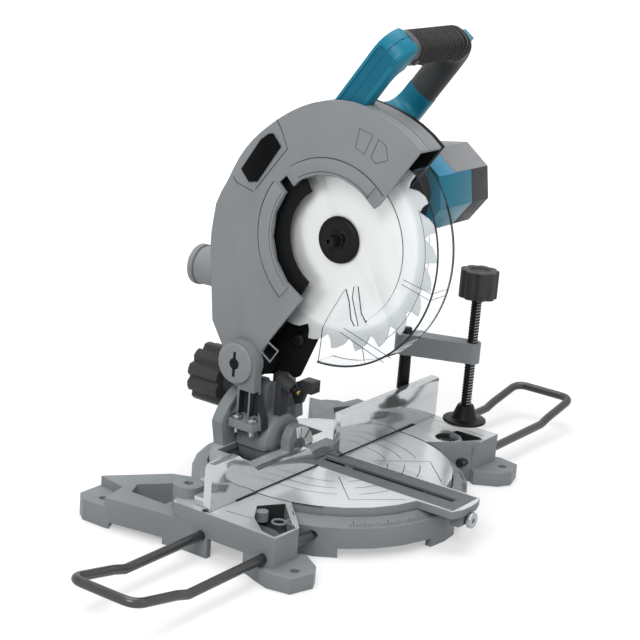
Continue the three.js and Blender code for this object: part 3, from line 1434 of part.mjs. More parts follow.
function arborBolt() {
  const face = -BLADE_THICK / 2 - GAP - FLANGE_THICK - GAP;
  return turnedX([
    [0, face],
    [SPINDLE_RADIUS + BOLT_RIM, face],
    [SPINDLE_RADIUS + BOLT_RIM, face - HUB_STEP],
    [SPINDLE_RADIUS - BOLT_RIM, face - HUB_STEP],
    [SPINDLE_RADIUS - BOLT_RIM, face - BOLT_HEAD],
    [2 * BOLT_RIM, face - BOLT_HEAD],
    [2 * BOLT_RIM, face - 0.6 * BOLT_HEAD],
    [0, face - 0.6 * BOLT_HEAD],
  ], SMALL);
}

// A spur gear about X with trapezium teeth
const TOOTH_ROOT_SHARE = 1.2;
const TOOTH_TIP_SHARE = 0.9;
const ROOT_WIDTH_SHARE = 0.34;
const TIP_WIDTH_SHARE = 0.11;

function gear(teeth, module, left, right, bore, turn) {
  const pitchRadius = (teeth * module) / 2;
  const step = 360 / teeth;
  const points = [];
  for (let i = 0; i < teeth; i++) {
    const middle = turn + i * step;
    const root = pitchRadius - TOOTH_ROOT_SHARE * module;
    const tip = pitchRadius + TOOTH_TIP_SHARE * module;
    points.push(polar(root, middle - step * ROOT_WIDTH_SHARE));
    points.push(polar(tip, middle - step * TIP_WIDTH_SHARE));
    points.push(polar(tip, middle + step * TIP_WIDTH_SHARE));
    points.push(polar(root, middle + step * ROOT_WIDTH_SHARE));
  }
  const shape = outline(points);
  if (bore > 0) {
    const hole = arc(bore, 0, 360 - 360 / SMALL, SMALL - 1);
    shape.holes.push(new THREE.Path(hole.map(([u, v]) => new THREE.Vector2(u, v))));
  }
  return sidePlate(shape, left, right);
}

const SHAFT_SPREAD = Math.hypot(MOTOR_Y - BLADE_Y, MOTOR_Z - BLADE_Z);
const GEAR_MODULE = (2 * SHAFT_SPREAD) / (GEAR_TEETH + PINION_TEETH);
const MESH_ANGLE = THREE.MathUtils.radToDeg(Math.atan2(MOTOR_Z - BLADE_Z, MOTOR_Y - BLADE_Y));
const GEAR_REACH = (GEAR_TEETH * GEAR_MODULE) / 2 + GEAR_MODULE;

// The gear case: a cup over the gears, closed by the back plate
function caseOutline(inset) {
  const big = GEAR_REACH + CASE_WALL + HUB_STEP - inset;
  const pinionReach = (PINION_TEETH * GEAR_MODULE) / 2 + GEAR_MODULE;
  const small = pinionReach + 2 * CASE_WALL + HUB_STEP - inset;
  const around = Math.acos((big - small) / SHAFT_SPREAD) * (180 / Math.PI);
  return [
    ...arc(big, MESH_ANGLE + around, MESH_ANGLE + 360 - around, ROUND, BLADE_Y, BLADE_Z),
    ...arc(small, MESH_ANGLE - around, MESH_ANGLE + around, SMALL, MOTOR_Y, MOTOR_Z),
  ];
}

function gearCase() {
  const left = PLATE_RIGHT + GAP;
  const blank = sidePlate(caseOutline(0), left, CASE_RIGHT);
  const cavity = sidePlate(caseOutline(CASE_WALL), left - OVERRUN, CASE_RIGHT - CASE_WALL);
  const shaftHole = barX(MOTOR_SHAFT + GAP, left, CASE_RIGHT + OVERRUN, MOTOR_Y, MOTOR_Z, SMALL);
  return cut(blank, cavity, shaftHole);
}

// The motor: octagonal shells about the motor shaft
function octagon(flat) {
  const turn = 22.5 - MOTOR_TURN;
  return arc(flat / Math.cos(Math.PI / 8), turn, turn + 315, 7, MOTOR_Y, MOTOR_Z);
}

function hoodRoom(gap) {
  const [, high] = polar(MOTOR_FLAT / Math.cos(Math.PI / 8), 157.5 - MOTOR_TURN, 0, MOTOR_Z + gap);
  const reach = MOTOR_FLAT + OVERRUN;
  return block(HOOD_START + gap, MOTOR_END, MOTOR_Y - reach, MOTOR_Y + reach, high, high + MOTOR_FLAT);
}

function motorHousing() {
  const left = CASE_RIGHT + GAP;
  const blank = sidePlate(octagon(MOTOR_FLAT), left, MOTOR_SPLIT);
  const bore = barX(MOTOR_FLAT - MOTOR_WALL, left + MOTOR_WALL, MOTOR_SPLIT + OVERRUN, MOTOR_Y, MOTOR_Z);
  const mouth = barX(MOTOR_SHAFT + HUB_STEP, left - OVERRUN, MOTOR_SPLIT, MOTOR_Y, MOTOR_Z, SMALL);
  const low = MOTOR_Z - 2 * MOTOR_FLAT;
  const high = MOTOR_Z + 2 * MOTOR_FLAT;
  const capHoles = barZ(BRUSH_RADIUS + GAP, low, high, HOOD_START - BRUSH_PLACE, MOTOR_Y, SMALL);
  return cut(blank, bore, mouth, hoodRoom(0), capHoles);
}

function motorEndCap() {
  const left = MOTOR_SPLIT + GAP;
  const straight = sidePlate(octagon(MOTOR_FLAT), left, MOTOR_END - CAP_TAPER);
  const hood = common(sidePlate(octagon(MOTOR_FLAT), HOOD_START, left + OVERRUN), hoodRoom(GAP));
  const taper = new THREE.CylinderGeometry(
    (MOTOR_FLAT - CAP_TAPER) / Math.cos(Math.PI / 8),
    MOTOR_FLAT / Math.cos(Math.PI / 8),
    CAP_TAPER,
    8,
  );
  taper.rotateY(Math.PI / 8).rotateZ(-Math.PI / 2).rotateX(-THREE.MathUtils.degToRad(MOTOR_TURN));
  taper.translate(MOTOR_END - CAP_TAPER / 2, MOTOR_Y, MOTOR_Z);
  const bore = barX(MOTOR_FLAT - MOTOR_WALL, HOOD_START - OVERRUN, MOTOR_END - VENT_DEPTH, MOTOR_Y, MOTOR_Z);
  const vents = [-1, 0, 1].map((i) =>
    block(
      MOTOR_END - 2 * VENT_DEPTH,
      MOTOR_END + OVERRUN,
      MOTOR_Y - 2 * VENT_PITCH,
      MOTOR_Y + 2 * VENT_PITCH,
      MOTOR_Z + i * VENT_PITCH - VENT_HALF,
      MOTOR_Z + i * VENT_PITCH + VENT_HALF,
    ),
  );
  return cut(join(straight, hood, taper), bore, ...vents);
}

function stator() {
  const left = CASE_RIGHT + GAP + MOTOR_WALL + STATOR_END;
  return turnedX([
    [STATOR_BORE, left],
    [STATOR_RADIUS, left],
    [STATOR_RADIUS, MOTOR_SPLIT - STATOR_END],
    [STATOR_BORE, MOTOR_SPLIT - STATOR_END],
  ]).translate(0, MOTOR_Y, MOTOR_Z);
}

function armature() {
  const core = CASE_RIGHT + ARMATURE_STEP;
  const neck = core + ARMATURE_LONG;
  const commutator = neck + STATOR_END;
  return turnedX([
    [0, GEAR_LEFT - HUB_STEP],
    [MOTOR_SHAFT, GEAR_LEFT - HUB_STEP],
    [MOTOR_SHAFT, core],
    [ARMATURE_RADIUS, core],
    [ARMATURE_RADIUS, neck],
    [1.5 * MOTOR_SHAFT, neck],
    [1.5 * MOTOR_SHAFT, commutator],
    [COMMUTATOR_RADIUS, commutator],
    [COMMUTATOR_RADIUS, commutator + ARMATURE_STEP],
    [MOTOR_SHAFT - INSET, commutator + ARMATURE_STEP],
    [MOTOR_SHAFT - INSET, MOTOR_END - ARMATURE_STEP],
    [0, MOTOR_END - ARMATURE_STEP],
  ], SMALL).translate(0, MOTOR_Y, MOTOR_Z);
}

// Handle in its own plane: U across the saw, V up along the limbs
function handleMatrix() {
  const lean = THREE.MathUtils.degToRad(HANDLE_LEAN);
  const across = new THREE.Vector3(1, 0, 0);
  const along = new THREE.Vector3(0, -Math.cos(lean), Math.sin(lean));
  const normal = new THREE.Vector3().crossVectors(across, along);
  return new THREE.Matrix4().makeBasis(across, along, normal).setPosition(0, HANDLE_Y, HANDLE_Z);
}

function handlePlate(points, thick) {
  return extrude(outline(points), thick).translate(0, 0, -thick / 2).applyMatrix4(handleMatrix());
}

function roundedBox(u0, u1, v0, v1, radius) {
  const corners = [
    [u1 - radius, v1 - radius, 0],
    [u0 + radius, v1 - radius, 90],
    [u0 + radius, v0 + radius, 180],
    [u1 - radius, v0 + radius, 270],
  ];
  return corners.flatMap(([u, v, start]) => arc(radius, start, start + 90, 5, u, v));
}

const GRIP_LOW = HANDLE_LENGTH - GRIP_DEPTH;
const HOLE_LEFT = HANDLE_LIMB - HANDLE_LEFT;
const HOLE_RIGHT = HANDLE_RIGHT - HANDLE_LIMB;
const HOLE_LOW = -HANDLE_ROOT / 2;

function handleLoop() {
  const shape = outline(
    roundedBox(-HANDLE_LEFT, HANDLE_RIGHT, -HANDLE_ROOT, HANDLE_LENGTH, HANDLE_CORNER),
  );
  const hole = roundedBox(HOLE_LEFT, HOLE_RIGHT, HOLE_LOW, GRIP_LOW, HANDLE_CORNER / 2);
  shape.holes.push(new THREE.Path(hole.map(([u, v]) => new THREE.Vector2(u, v))));
  const depth = HANDLE_THICK - 2 * HANDLE_ROUNDING;
  const loop = new THREE.ExtrudeGeometry(shape, {
    depth,
    bevelSize: HANDLE_ROUNDING,
    bevelThickness: HANDLE_ROUNDING,
    bevelOffset: -HANDLE_ROUNDING,
    bevelSegments: 2,
  });
  return loop.translate(0, 0, -depth / 2).applyMatrix4(handleMatrix());
}

// The part of the loop that the rubber grip covers: the top bar and the upper right limb
function gripRegion(gap) {
  const far = OVERRUN + HANDLE_ROUNDING;
  return handlePlate(
    [
      [GRIP_START - gap, HANDLE_LENGTH + far],
      [GRIP_START - gap, GRIP_LOW - far],
      [HOLE_RIGHT - far, GRIP_LOW - far],
      [HOLE_RIGHT - far, GRIP_END - gap],
      [HANDLE_RIGHT + far, GRIP_END - gap],
      [HANDLE_RIGHT + far, HANDLE_LENGTH + far],
    ],
    HANDLE_THICK + 2 * far,
  );
}

// The blue bar that runs on inside the grip
function gripCore(gap) {
  const middle = GRIP_LOW + GRIP_DEPTH / 2 + TRIGGER_STEM / 2;
  const half = CORE_HALF + gap;
  return handlePlate(
    [
      [HOLE_LEFT - CORE_HALF, middle - half],
      [HOLE_RIGHT + CORE_HALF - gap, middle - half],
      [HOLE_RIGHT + CORE_HALF - gap, GRIP_END - HUB_STEP],
      [HANDLE_RIGHT - CORE_HALF / 2 + gap, GRIP_END - HUB_STEP],
      [HANDLE_RIGHT - CORE_HALF / 2 + gap, middle + half],
      [HOLE_LEFT - CORE_HALF, middle + half],
    ],
    2 * half,
  );
}

function handleBody() {
  const guardRoom = sidePlate(guardBlock(GAP), -GUARD_LEFT - OVERRUN, PLATE_RIGHT + GAP);
  const motorRoom = sidePlate(octagon(MOTOR_FLAT + GAP), PLATE_RIGHT, MOTOR_END);
  const caseRoom = sidePlate(caseOutline(-GAP), PLATE_LEFT, CASE_RIGHT + GAP);
  const shell = cut(handleLoop(), gripRegion(0), guardRoom, motorRoom, caseRoom);
  return cut(join(shell, gripCore(0)), buttonBar(GAP));
}

// The guard's outline filled in to the blade's centre, to cut what sits on it
function guardBlock(extra) {
  return [...guardTop(extra), [BLADE_Y, BLADE_Z]];
}

function triggerOutline(gap) {
  return [
    [TRIGGER_LEFT - gap, GRIP_LOW + TRIGGER_STEM + gap],
    [TRIGGER_LEFT - gap, GRIP_LOW - TRIGGER_DROP / 3],
    [(2 * TRIGGER_LEFT + TRIGGER_RIGHT) / 3, GRIP_LOW - TRIGGER_DROP * 0.6],
    [TRIGGER_RIGHT - TRIGGER_STEM, GRIP_LOW - TRIGGER_DROP],
    [TRIGGER_RIGHT + gap, GRIP_LOW - TRIGGER_DROP],
    [TRIGGER_RIGHT + gap, GRIP_LOW + TRIGGER_STEM + gap],
  ];
}

function handleGrip() {
  const sleeve = cut(common(handleLoop(), gripRegion(-GAP)), gripCore(GAP));
  return cut(sleeve, handlePlate(triggerOutline(INSET / 2), TRIGGER_THICK + INSET), buttonBar(GAP));
}

// The trigger moves up into the grip by its travel
const TRIGGER_TRAVEL = 2.5;

function trigger() {
  const top = GRIP_LOW + TRIGGER_STEM - TRIGGER_TRAVEL;
  const points = triggerOutline(0).map(([u, v]) => [u, Math.min(v, top)]);
  return handlePlate(points, TRIGGER_THICK);
}

// Lock-off button: a short bar square to the handle's plane, at the grip's left end
function buttonBar(gap) {
  const inner = CORE_HALF + (gap > 0 ? gap : BUTTON_RADIUS - INSET / 2);
  const outer = HANDLE_THICK / 2 + BUTTON_PROUD + 3 * gap;
  const u = GRIP_START + BUTTON_PLACE;
  const bar = barZ(BUTTON_RADIUS + gap, inner, outer, u, GRIP_LOW + GRIP_DEPTH * 0.4, SMALL);
  return bar.applyMatrix4(handleMatrix());
}

// Dust port behind the guard
function dustPort() {
  const from = BLADE_Y + GUARD_RADIUS + VENT_DEPTH;
  const pipe = turned([
    [PORT_RADIUS - PORT_WALL, from],
    [PORT_RADIUS, from],
    [PORT_RADIUS, PORT_END - PORT_LIP],
    [PORT_RADIUS + PORT_LIP / 4, PORT_END - PORT_LIP],
    [PORT_RADIUS + PORT_LIP / 4, PORT_END],
    [PORT_RADIUS - PORT_WALL, PORT_END],
  ]).translate(PORT_X, 0, PORT_Z);
  return cut(pipe, sidePlate(guardBlock(GAP), -2 * GUARD_LEFT, 2 * GUARD_LEFT), rearBlock());
}

function rearBlock() {
  return sidePlate(
    [
      polar(guardReach(GUARD_REAR_ANGLE) + GAP, GUARD_REAR_ANGLE, BLADE_Y, BLADE_Z),
      [GUARD_REAR_LOW[0] + GAP, GUARD_REAR_LOW[1]],
      [BLADE_Y, PIVOT_Z],
      [BLADE_Y, BLADE_Z],
    ],
    -2 * GUARD_LEFT,
    2 * GUARD_LEFT,
  );
}

// Black shroud behind the blade's rear, inside the guard: a crescent with a rim round the teeth
function innerShield() {
  const near = SHIELD_RADIUS;
  const far = LOWER_OUTER - LOWER_WALL - INSET;
  const rimIn = BLADE_RADIUS + HUB_STEP;
  const from = -62;
  const to = 56;
  const crescent = sidePlate(
    [...arc(far, from, to, SMALL, BLADE_Y, BLADE_Z), ...arc(near, to, from, SMALL, BLADE_Y, BLADE_Z)],
    SHIELD_LEFT,
    SHIELD_LEFT + HUB_STEP,
  );
  const rim = sidePlate(
    [
      ...arc(far, from + 4, 20, SMALL, BLADE_Y, BLADE_Z),
      ...arc(rimIn, 20, from + 4, SMALL, BLADE_Y, BLADE_Z),
    ],
    SHIELD_LEFT,
    PLATE_LEFT - GAP,
  );
  return join(crescent, rim);
}

// Bare plate in a recess of the guard, and the bolt that stops the lower guard
function badgePlate() {
  const tilt = THREE.MathUtils.degToRad(BADGE_TURN);
  const half = BADGE_WIDE / 2;
  const tall = BADGE_TALL / 2;
  const points = [
    [half, tall - 2 * BADGE_CHAMFER],
    [half - BADGE_CHAMFER / 2, tall - BADGE_CHAMFER / 2],
    [half - BADGE_CHAMFER, tall],
    [-half, tall - BADGE_CHAMFER / 2],
    [-half, BADGE_CHAMFER - tall],
    [-half + BADGE_CHAMFER / 2, BADGE_CHAMFER / 2 - tall],
    [-half + BADGE_CHAMFER, -tall],
    [half, BADGE_CHAMFER / 2 - tall],
  ].map(([u, v]) => [
    BADGE_Y + u * Math.cos(tilt) - v * Math.sin(tilt),
    BADGE_Z + u * Math.sin(tilt) + v * Math.cos(tilt),
  ]);
  return sidePlate(points, -GUARD_LEFT - GAP - BADGE_THICK, -GUARD_LEFT - GAP);
}

function guardStopBolt() {
  const head = turnedX([
    [0, 0],
    [STOP_RADIUS, 0],
    [STOP_RADIUS, HUB_STEP - STOP_REACH],
    [STOP_RADIUS - HUB_STEP, -STOP_REACH],
    [STOP_RADIUS / 2.5, -STOP_REACH],
    [STOP_RADIUS / 2.5, -STOP_REACH / 2],
    [0, -STOP_REACH / 2],
  ], SMALL);
  return head.translate(PLATE_LEFT - GAP, STOP_Y, STOP_Z);
}

// Pointer on the arm, over the sloped scale of the base
const POINTER_LONG = 9;
const POINTER_WIDE = 6;

function mitrePointer() {
  const root = SKIRT_RADIUS - POINTER_WIDE / 2;
  return slab(
    [
      [ARM_HALF + GAP, -root],
      [ARM_HALF + GAP, -root - POINTER_LONG],
      [ARM_HALF + POINTER_WIDE, INSET - root - POINTER_LONG],
      [ARM_HALF + POINTER_WIDE, INSET - root],
      [ARM_HALF + POINTER_WIDE / 3, -RIM_RADIUS - POINTER_WIDE / 2],
    ],
    ARM_UNDER + INSET,
    ARM_UNDER + INSET + HUB_STEP,
  );
}

function brushCap(side) {
  const outer = MOTOR_FLAT + MOTOR_WALL / 2;
  const bar = barZ(BRUSH_RADIUS, MOTOR_FLAT - MOTOR_WALL + INSET, outer, 0, 0, SMALL);
  const half = 0.75 * BRUSH_RADIUS;
  const slot = block(-half, half, -INSET, INSET, outer - MOTOR_WALL / 2, outer + OVERRUN);
  const cap = cut(bar, slot);
  const x = HOOD_START - BRUSH_PLACE;
  return side > 0
    ? cap.translate([x, MOTOR_Y, MOTOR_Z])
    : cap.rotate([180, 0, 0]).translate([x, MOTOR_Y, MOTOR_Z]);
}

// Clear lower guard: rim, left wall with its two finger vanes, right wall and hub ring
function lowerGuard() {
  const span = LOWER_END - LOWER_START;
  const steps = ROUND;
  const band = (outer, inner, from, to) => [
    ...arc(outer, from, to, steps),
    ...arc(inner, to, from, steps),
  ];
  const rim = sidePlate(
    band(LOWER_OUTER, LOWER_OUTER - LOWER_WALL, LOWER_START, LOWER_END),
    -LOWER_LEFT,
    LOWER_RIGHT,
  );
  const leftWall = sidePlate(
    band(LOWER_OUTER - INSET, LOWER_INNER, LOWER_START, LOWER_END),
    -LOWER_LEFT,
    -LOWER_LEFT + LOWER_WALL * 0.7,
  );
  const rightWall = sidePlate(
    band(LOWER_OUTER - INSET, LOWER_RING + HUB_STEP, LOWER_START + span * 0.12, LOWER_END - span * 0.12),
    LOWER_RIGHT - LOWER_SKIN,
    LOWER_RIGHT,
  );
  const ring = barX(LOWER_RING_OUTER, LOWER_RIGHT - LOWER_SKIN, LOWER_RIGHT);
  const ringHole = barX(LOWER_RING, 0, 2 * LOWER_RIGHT);
  const vane = (from, tip, reach) =>
    sidePlate(
      [
        polar(LOWER_INNER + HUB_STEP, from),
        polar(reach, tip),
        polar(reach, tip + 3),
        polar(LOWER_INNER + HUB_STEP, from + 17),
      ],
      -LOWER_LEFT,
      -LOWER_LEFT + LOWER_WALL * 0.7,
    );
  const vanes = [vane(252, 238, VANE_REACH), vane(268, 243, VANE_REACH + CHEEK_STEP)];
  return join(rim, leftWall, cut(join(rightWall, ring), ringHole), ...vanes);
}

// Hold-down clamp
function clampPost() {
  return turnedZ([
    [0, POST_SEAT + GAP],
    [POST_RADIUS, POST_SEAT + GAP],
    [POST_RADIUS, POST_TOP - HUB_STEP],
    [POST_RADIUS - HUB_STEP, POST_TOP],
    [0, POST_TOP],
  ], SMALL).translate(POST_X, POST_Y, 0);
}

function clampArm() {
  const reach = Math.hypot(SCREW_X - POST_X, SCREW_Y - POST_Y);
  const turn = Math.atan2(SCREW_Y - POST_Y, SCREW_X - POST_X);
  const bar = slab(
    [
      ...arc(1.33 * CLAMP_ARM_HALF, 60, 300, SMALL),
      ...arc(CLAMP_ARM_HALF, -90, 90, SMALL, reach, 0),
    ],
    CLAMP_ARM_BOTTOM,
    CLAMP_ARM_TOP,
  );
  bar.rotateZ(turn).translate(POST_X, POST_Y, 0);
  return cut(
    bar,
    barZ(POST_RADIUS + GAP, 0, KNOB_BOTTOM, POST_X, POST_Y, SMALL),
    barZ(SCREW_RADIUS + GAP, 0, KNOB_BOTTOM, SCREW_X, SCREW_Y, SMALL),
  );
}

function clampScrew() {
  return barZ(SCREW_RADIUS, PAD_BOTTOM + 2 * PAD_THICK, SCREW_TOP, SCREW_X, SCREW_Y, SMALL);
}

function clampPad() {
  return turnedZ([
    [0, PAD_BOTTOM],
    [PAD_RADIUS, PAD_BOTTOM],
    [PAD_RADIUS, PAD_BOTTOM + PAD_THICK],
    [PAD_RADIUS * 0.6, PAD_BOTTOM + 1.33 * PAD_THICK],
    [SCREW_RADIUS + PAD_THICK, PAD_BOTTOM + PAD_BELL],
    [SCREW_RADIUS + GAP, PAD_BOTTOM + PAD_BELL],
    [SCREW_RADIUS + GAP, PAD_BOTTOM + 2 * PAD_THICK - GAP],
    [0, PAD_BOTTOM + 2 * PAD_THICK - GAP],
  ], SMALL).translate(SCREW_X, SCREW_Y, 0);
}

function clampKnob() {
  const fluted = flutedOutline(KNOB_RADIUS, KNOB_FLUTES - 1, KNOB_RADIUS / 8, FLUTE_STEPS);
  const body = extrude(outline(fluted), KNOB_HEIGHT);
  body.translate(SCREW_X, SCREW_Y, KNOB_BOTTOM);
  const dish = turnedZ([
    [0, KNOB_BOTTOM + KNOB_HEIGHT - KNOB_SKIN / 3],
    [KNOB_RADIUS * 0.5, KNOB_BOTTOM + KNOB_HEIGHT - KNOB_SKIN / 3],
    [KNOB_RADIUS * 0.6, KNOB_BOTTOM + KNOB_HEIGHT + OVERRUN],
    [0, KNOB_BOTTOM + KNOB_HEIGHT + OVERRUN],
  ]).translate(SCREW_X, SCREW_Y, 0);
  const bore = barZ(SCREW_RADIUS + GAP, 0, SCREW_TOP + GAP, SCREW_X, SCREW_Y, SMALL);
  return cut(body, bore, dish);
}

// Laser module, tilted down to the cut, on a bracket of the bevel arm, with its switch box beside it
const LASER_X = -2;
const LASER_REACH = 24;
const LASER_Y = COLUMN_FRONT - LASER_REACH;
const LASER_Z = PIVOT_Z - LASER_REACH;
const LASER_RADIUS = 4.2;
const LASER_LENGTH = 15;
const LASER_TILT = 20;
const LASER_POST = 7;
const HOLDER_SKIN = 2.5;
const LENS_THICK = 2;
const BOX_LEFT = 19;
const BOX_WIDE = 14;
const BOX_TALL = 12;
const BOX_BEHIND = 10;
const BOX_STEP = 2;
const STEM_ROOT = 6;
const STEM_WALL = 3;
const BOX_REAR = COLUMN_FRONT - BOX_BEHIND;
const BOX_FRONT = BOX_REAR - BOX_WIDE;
const BOX_LOW = PIVOT_Z - CHEEK_RADIUS - BOX_BEHIND + INSET;
const BOX_TOP = BOX_LOW + BOX_TALL;

function laserBar(radius, from, to) {
  const bar = barY(radius, from, to, 0, 0, SMALL);
  return bar.rotateX(THREE.MathUtils.degToRad(LASER_TILT)).translate(LASER_X, LASER_Y, LASER_Z);
}

function laserBracket() {
  const half = LASER_RADIUS + HOLDER_SKIN - GAP;
  const foot = TABLE_TOP + HUB_DOME + GAP;
  const front = COLUMN_FRONT - LASER_POST;
  const post = block(LASER_X - half, LASER_X + half, front, COLUMN_FRONT - GAP, foot, LASER_Z + LASER_RADIUS);
  const holder = laserBar(LASER_RADIUS + HOLDER_SKIN, LASER_LENGTH / 2, LASER_REACH);
  return cut(join(post, holder), laserBar(LASER_RADIUS + GAP, 0, LASER_LENGTH + 2 * LENS_THICK));
}

function laserModule() {
  return laserBar(LASER_RADIUS, LENS_THICK, LASER_LENGTH + LENS_THICK);
}

function laserLens() {
  return laserBar(LASER_RADIUS * 0.6, 0, LENS_THICK - GAP);
}

function laserBox() {
  const box = block(BOX_LEFT, BOX_LEFT + BOX_WIDE, BOX_FRONT, BOX_REAR, BOX_LOW, BOX_TOP);
  const [, [lowY, lowZ], [highY, highZ]] = cheekOutline();
  const stem = sidePlate(
    [
      [BOX_REAR - STEM_ROOT, BOX_LOW + STEM_WALL],
      [lowY - STEM_ROOT, lowZ + 2 * BOX_STEP],
      [lowY + 2 * GAP, lowZ + BOX_STEP],
      [highY - GAP, highZ],
      [BOX_REAR + BOX_STEP, BOX_TOP - BOX_STEP],
      [BOX_REAR - STEM_ROOT, BOX_TOP - BOX_STEP],
    ],
    BOX_LEFT + STEM_WALL,
    BOX_LEFT + STEM_WALL + STEM_ROOT,
  );
  return join(box, stem);
}

// Assembly
const saw = new THREE.Group();

function baseParts() {
  saw.add(part('base_casting', baseCasting(), GREY_CASTING));
  saw.add(part('fence', fence(), MACHINED));
  [-1, 1].forEach((side) => {
    const name = side < 0 ? 'left' : 'right';
    saw.add(part('extension_bar_' + name, extensionBar(side), BAR_STEEL));
    const screw = barZ(
      LOCK_SCREW_RADIUS,
      BAR_Z + BAR_RADIUS + GAP,
      TABLE_TOP - LOCK_SCREW_DEPTH,
      side * LOCK_SCREW_X,
      BAR_REAR,
      SMALL,
    );
    saw.add(part('bar_lock_screw_' + name, screw, BLACK));
    const depth = FENCE_FOOT_TOP - TABLE_TOP - GAP;
    const bolt = socketScrew(FENCE_BOLT, depth, side * FENCE_FOOT_X, FENCE_BOLT_Y, FENCE_FOOT_TOP + GAP);
    saw.add(part('fence_bolt_' + name, bolt, STEEL));
  });
}

function turntableParts() {
  saw.add(part('turntable', turntable(), MACHINED));
  saw.add(part('kerf_insert', kerfInsert(), INSERT_GREY));
  INSERT_SCREWS.forEach(([side, y], i) => {
    saw.add(part('insert_screw_' + (i + 1), insertScrew(side, y), STEEL));
  });
  saw.add(part('turntable_bolt', pivotBolt(), STEEL));
  const nut = hexNut(1.5 * PIVOT_BOLT, PIVOT_BOLT + GAP, PIVOT_NUT);
  nut.translate(0, 0, WEB_TOP - WEB_THICK - PIVOT_NUT - GAP);
  saw.add(part('turntable_nut', nut, STEEL));
  saw.add(part('mitre_lock_screw', mitreLock(), STEEL));
  saw.add(part('mitre_pointer', mitrePointer(), BLACK));
  saw.add(part('bevel_pin', bevelPin(), STEEL));
  saw.add(part('bevel_nut', bevelNut(), STEEL));
  saw.add(part('bevel_scale', bevelScale(), WHITE));
}

function bevelParts() {
  saw.add(part('bevel_arm', bevelArm(), GREY_CASTING));
  saw.add(part('bevel_bolt', bevelBolt(), STEEL));
  saw.add(part('bevel_lock_knob', bevelKnob(), KNOB_BLACK));
  saw.add(part('pivot_pin', pivotPin(), GUARD_GREY));
  saw.add(part('pivot_nut', pivotNut(), STEEL));
  saw.add(part('laser_bracket', laserBracket(), DARK_GREY));
  saw.add(part('laser_module', laserModule(), BLACK));
  saw.add(part('laser_lens', laserLens(), BRASS));
  saw.add(part('laser_box', laserBox(), DARK_GREY));
  STOP_SCREWS.forEach((y, i) => saw.add(part('bevel_stop_screw_' + (i + 1), stopScrew(y), DARK_GREY)));
}

function headParts() {
  saw.add(part('upper_guard', upperGuard(), GUARD_GREY));
  saw.add(part('head_plate', headPlate(), BLACK));
  saw.add(part('gear_case', gearCase(), DARK_GREY));
  saw.add(part('motor_housing', motorHousing(), BLUE));
  saw.add(part('motor_end_cap', motorEndCap(), DARK_GREY));
  saw.add(part('stator', stator(), COPPER));
  saw.add(part('handle_body', handleBody(), BLUE));
  saw.add(part('handle_grip', handleGrip(), DARK_GREY));
  saw.add(part('trigger', trigger(), BLACK));
  saw.add(part('lock_off_button', buttonBar(0), BLACK));
  saw.add(part('dust_port', dustPort(), GUARD_GREY));
  saw.add(part('inner_shield', innerShield(), BLACK));
  saw.add(part('badge_plate', badgePlate(), BLACK));
  saw.add(part('guard_stop_bolt', guardStopBolt(), BLACK));
  saw.add(part('brush_cap_upper', brushCap(1), BLACK));
  saw.add(part('brush_cap_lower', brushCap(-1), BLACK));
}

function turningParts() {
  const arbor = new THREE.Group();
  arbor.position.set(0, BLADE_Y, BLADE_Z);
  arbor.add(part('blade', blade(), BLADE_STEEL));
  arbor.add(part('outer_flange', outerFlange(), BLACK));
  arbor.add(part('inner_flange', innerFlange(), STEEL));
  arbor.add(part('spindle', spindle(), STEEL));
  arbor.add(part('arbor_bolt', arborBolt(), BLACK));
  const gearBore = SPINDLE_RADIUS + GAP;
  const driven = gear(GEAR_TEETH, GEAR_MODULE, GEAR_LEFT, GEAR_LEFT + GEAR_FACE, gearBore, MESH_ANGLE);
  arbor.add(part('driven_gear', driven, STEEL));
  arbor.add(part('lower_guard', lowerGuard(), CLEAR));
  saw.add(arbor);
  const pinionTurn = MESH_ANGLE + 180 + 180 / PINION_TEETH;
  const pinion = gear(PINION_TEETH, GEAR_MODULE, GEAR_LEFT, GEAR_LEFT + GEAR_FACE, 6 + GAP, pinionTurn);
  pinion.translate(0, MOTOR_Y, MOTOR_Z);
  saw.add(part('pinion', pinion, STEEL));
  saw.add(part('armature', armature(), COPPER));
}

function clampParts() {
  saw.add(part('clamp_post', clampPost(), BLACK));
  saw.add(part('clamp_arm', clampArm(), GREY_CASTING));
  saw.add(part('clamp_screw', clampScrew(), BLACK));
  saw.add(part('clamp_pad', clampPad(), BLACK));
  saw.add(part('clamp_knob', clampKnob(), KNOB_BLACK));
}

baseParts();
turntableParts();
bevelParts();
headParts();
turningParts();
clampParts();
saw.position.set(-BAR_DRAWN_RIGHT / 2, -FOOTPRINT_MIDDLE, 0);

export default saw;
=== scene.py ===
import json
import math

import bmesh
import bpy
from mathutils import Matrix, Vector


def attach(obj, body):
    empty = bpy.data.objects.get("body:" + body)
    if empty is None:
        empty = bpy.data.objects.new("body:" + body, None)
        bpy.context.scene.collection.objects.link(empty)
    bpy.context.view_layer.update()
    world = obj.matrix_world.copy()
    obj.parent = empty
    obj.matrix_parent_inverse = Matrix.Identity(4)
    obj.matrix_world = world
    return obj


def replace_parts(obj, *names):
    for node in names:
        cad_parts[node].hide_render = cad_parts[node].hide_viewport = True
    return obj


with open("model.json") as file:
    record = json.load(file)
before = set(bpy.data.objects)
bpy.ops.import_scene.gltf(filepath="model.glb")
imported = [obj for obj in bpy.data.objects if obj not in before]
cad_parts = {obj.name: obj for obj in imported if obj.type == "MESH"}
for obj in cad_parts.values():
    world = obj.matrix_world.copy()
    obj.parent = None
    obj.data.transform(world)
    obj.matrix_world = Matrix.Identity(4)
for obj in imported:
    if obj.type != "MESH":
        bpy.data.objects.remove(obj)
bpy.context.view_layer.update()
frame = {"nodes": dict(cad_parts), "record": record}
nodes = frame["nodes"]
bodies_of_record = frame["record"]["behaviour"]["bodies"]
BODY = {node: body for body, names in bodies_of_record.items() for node in names}
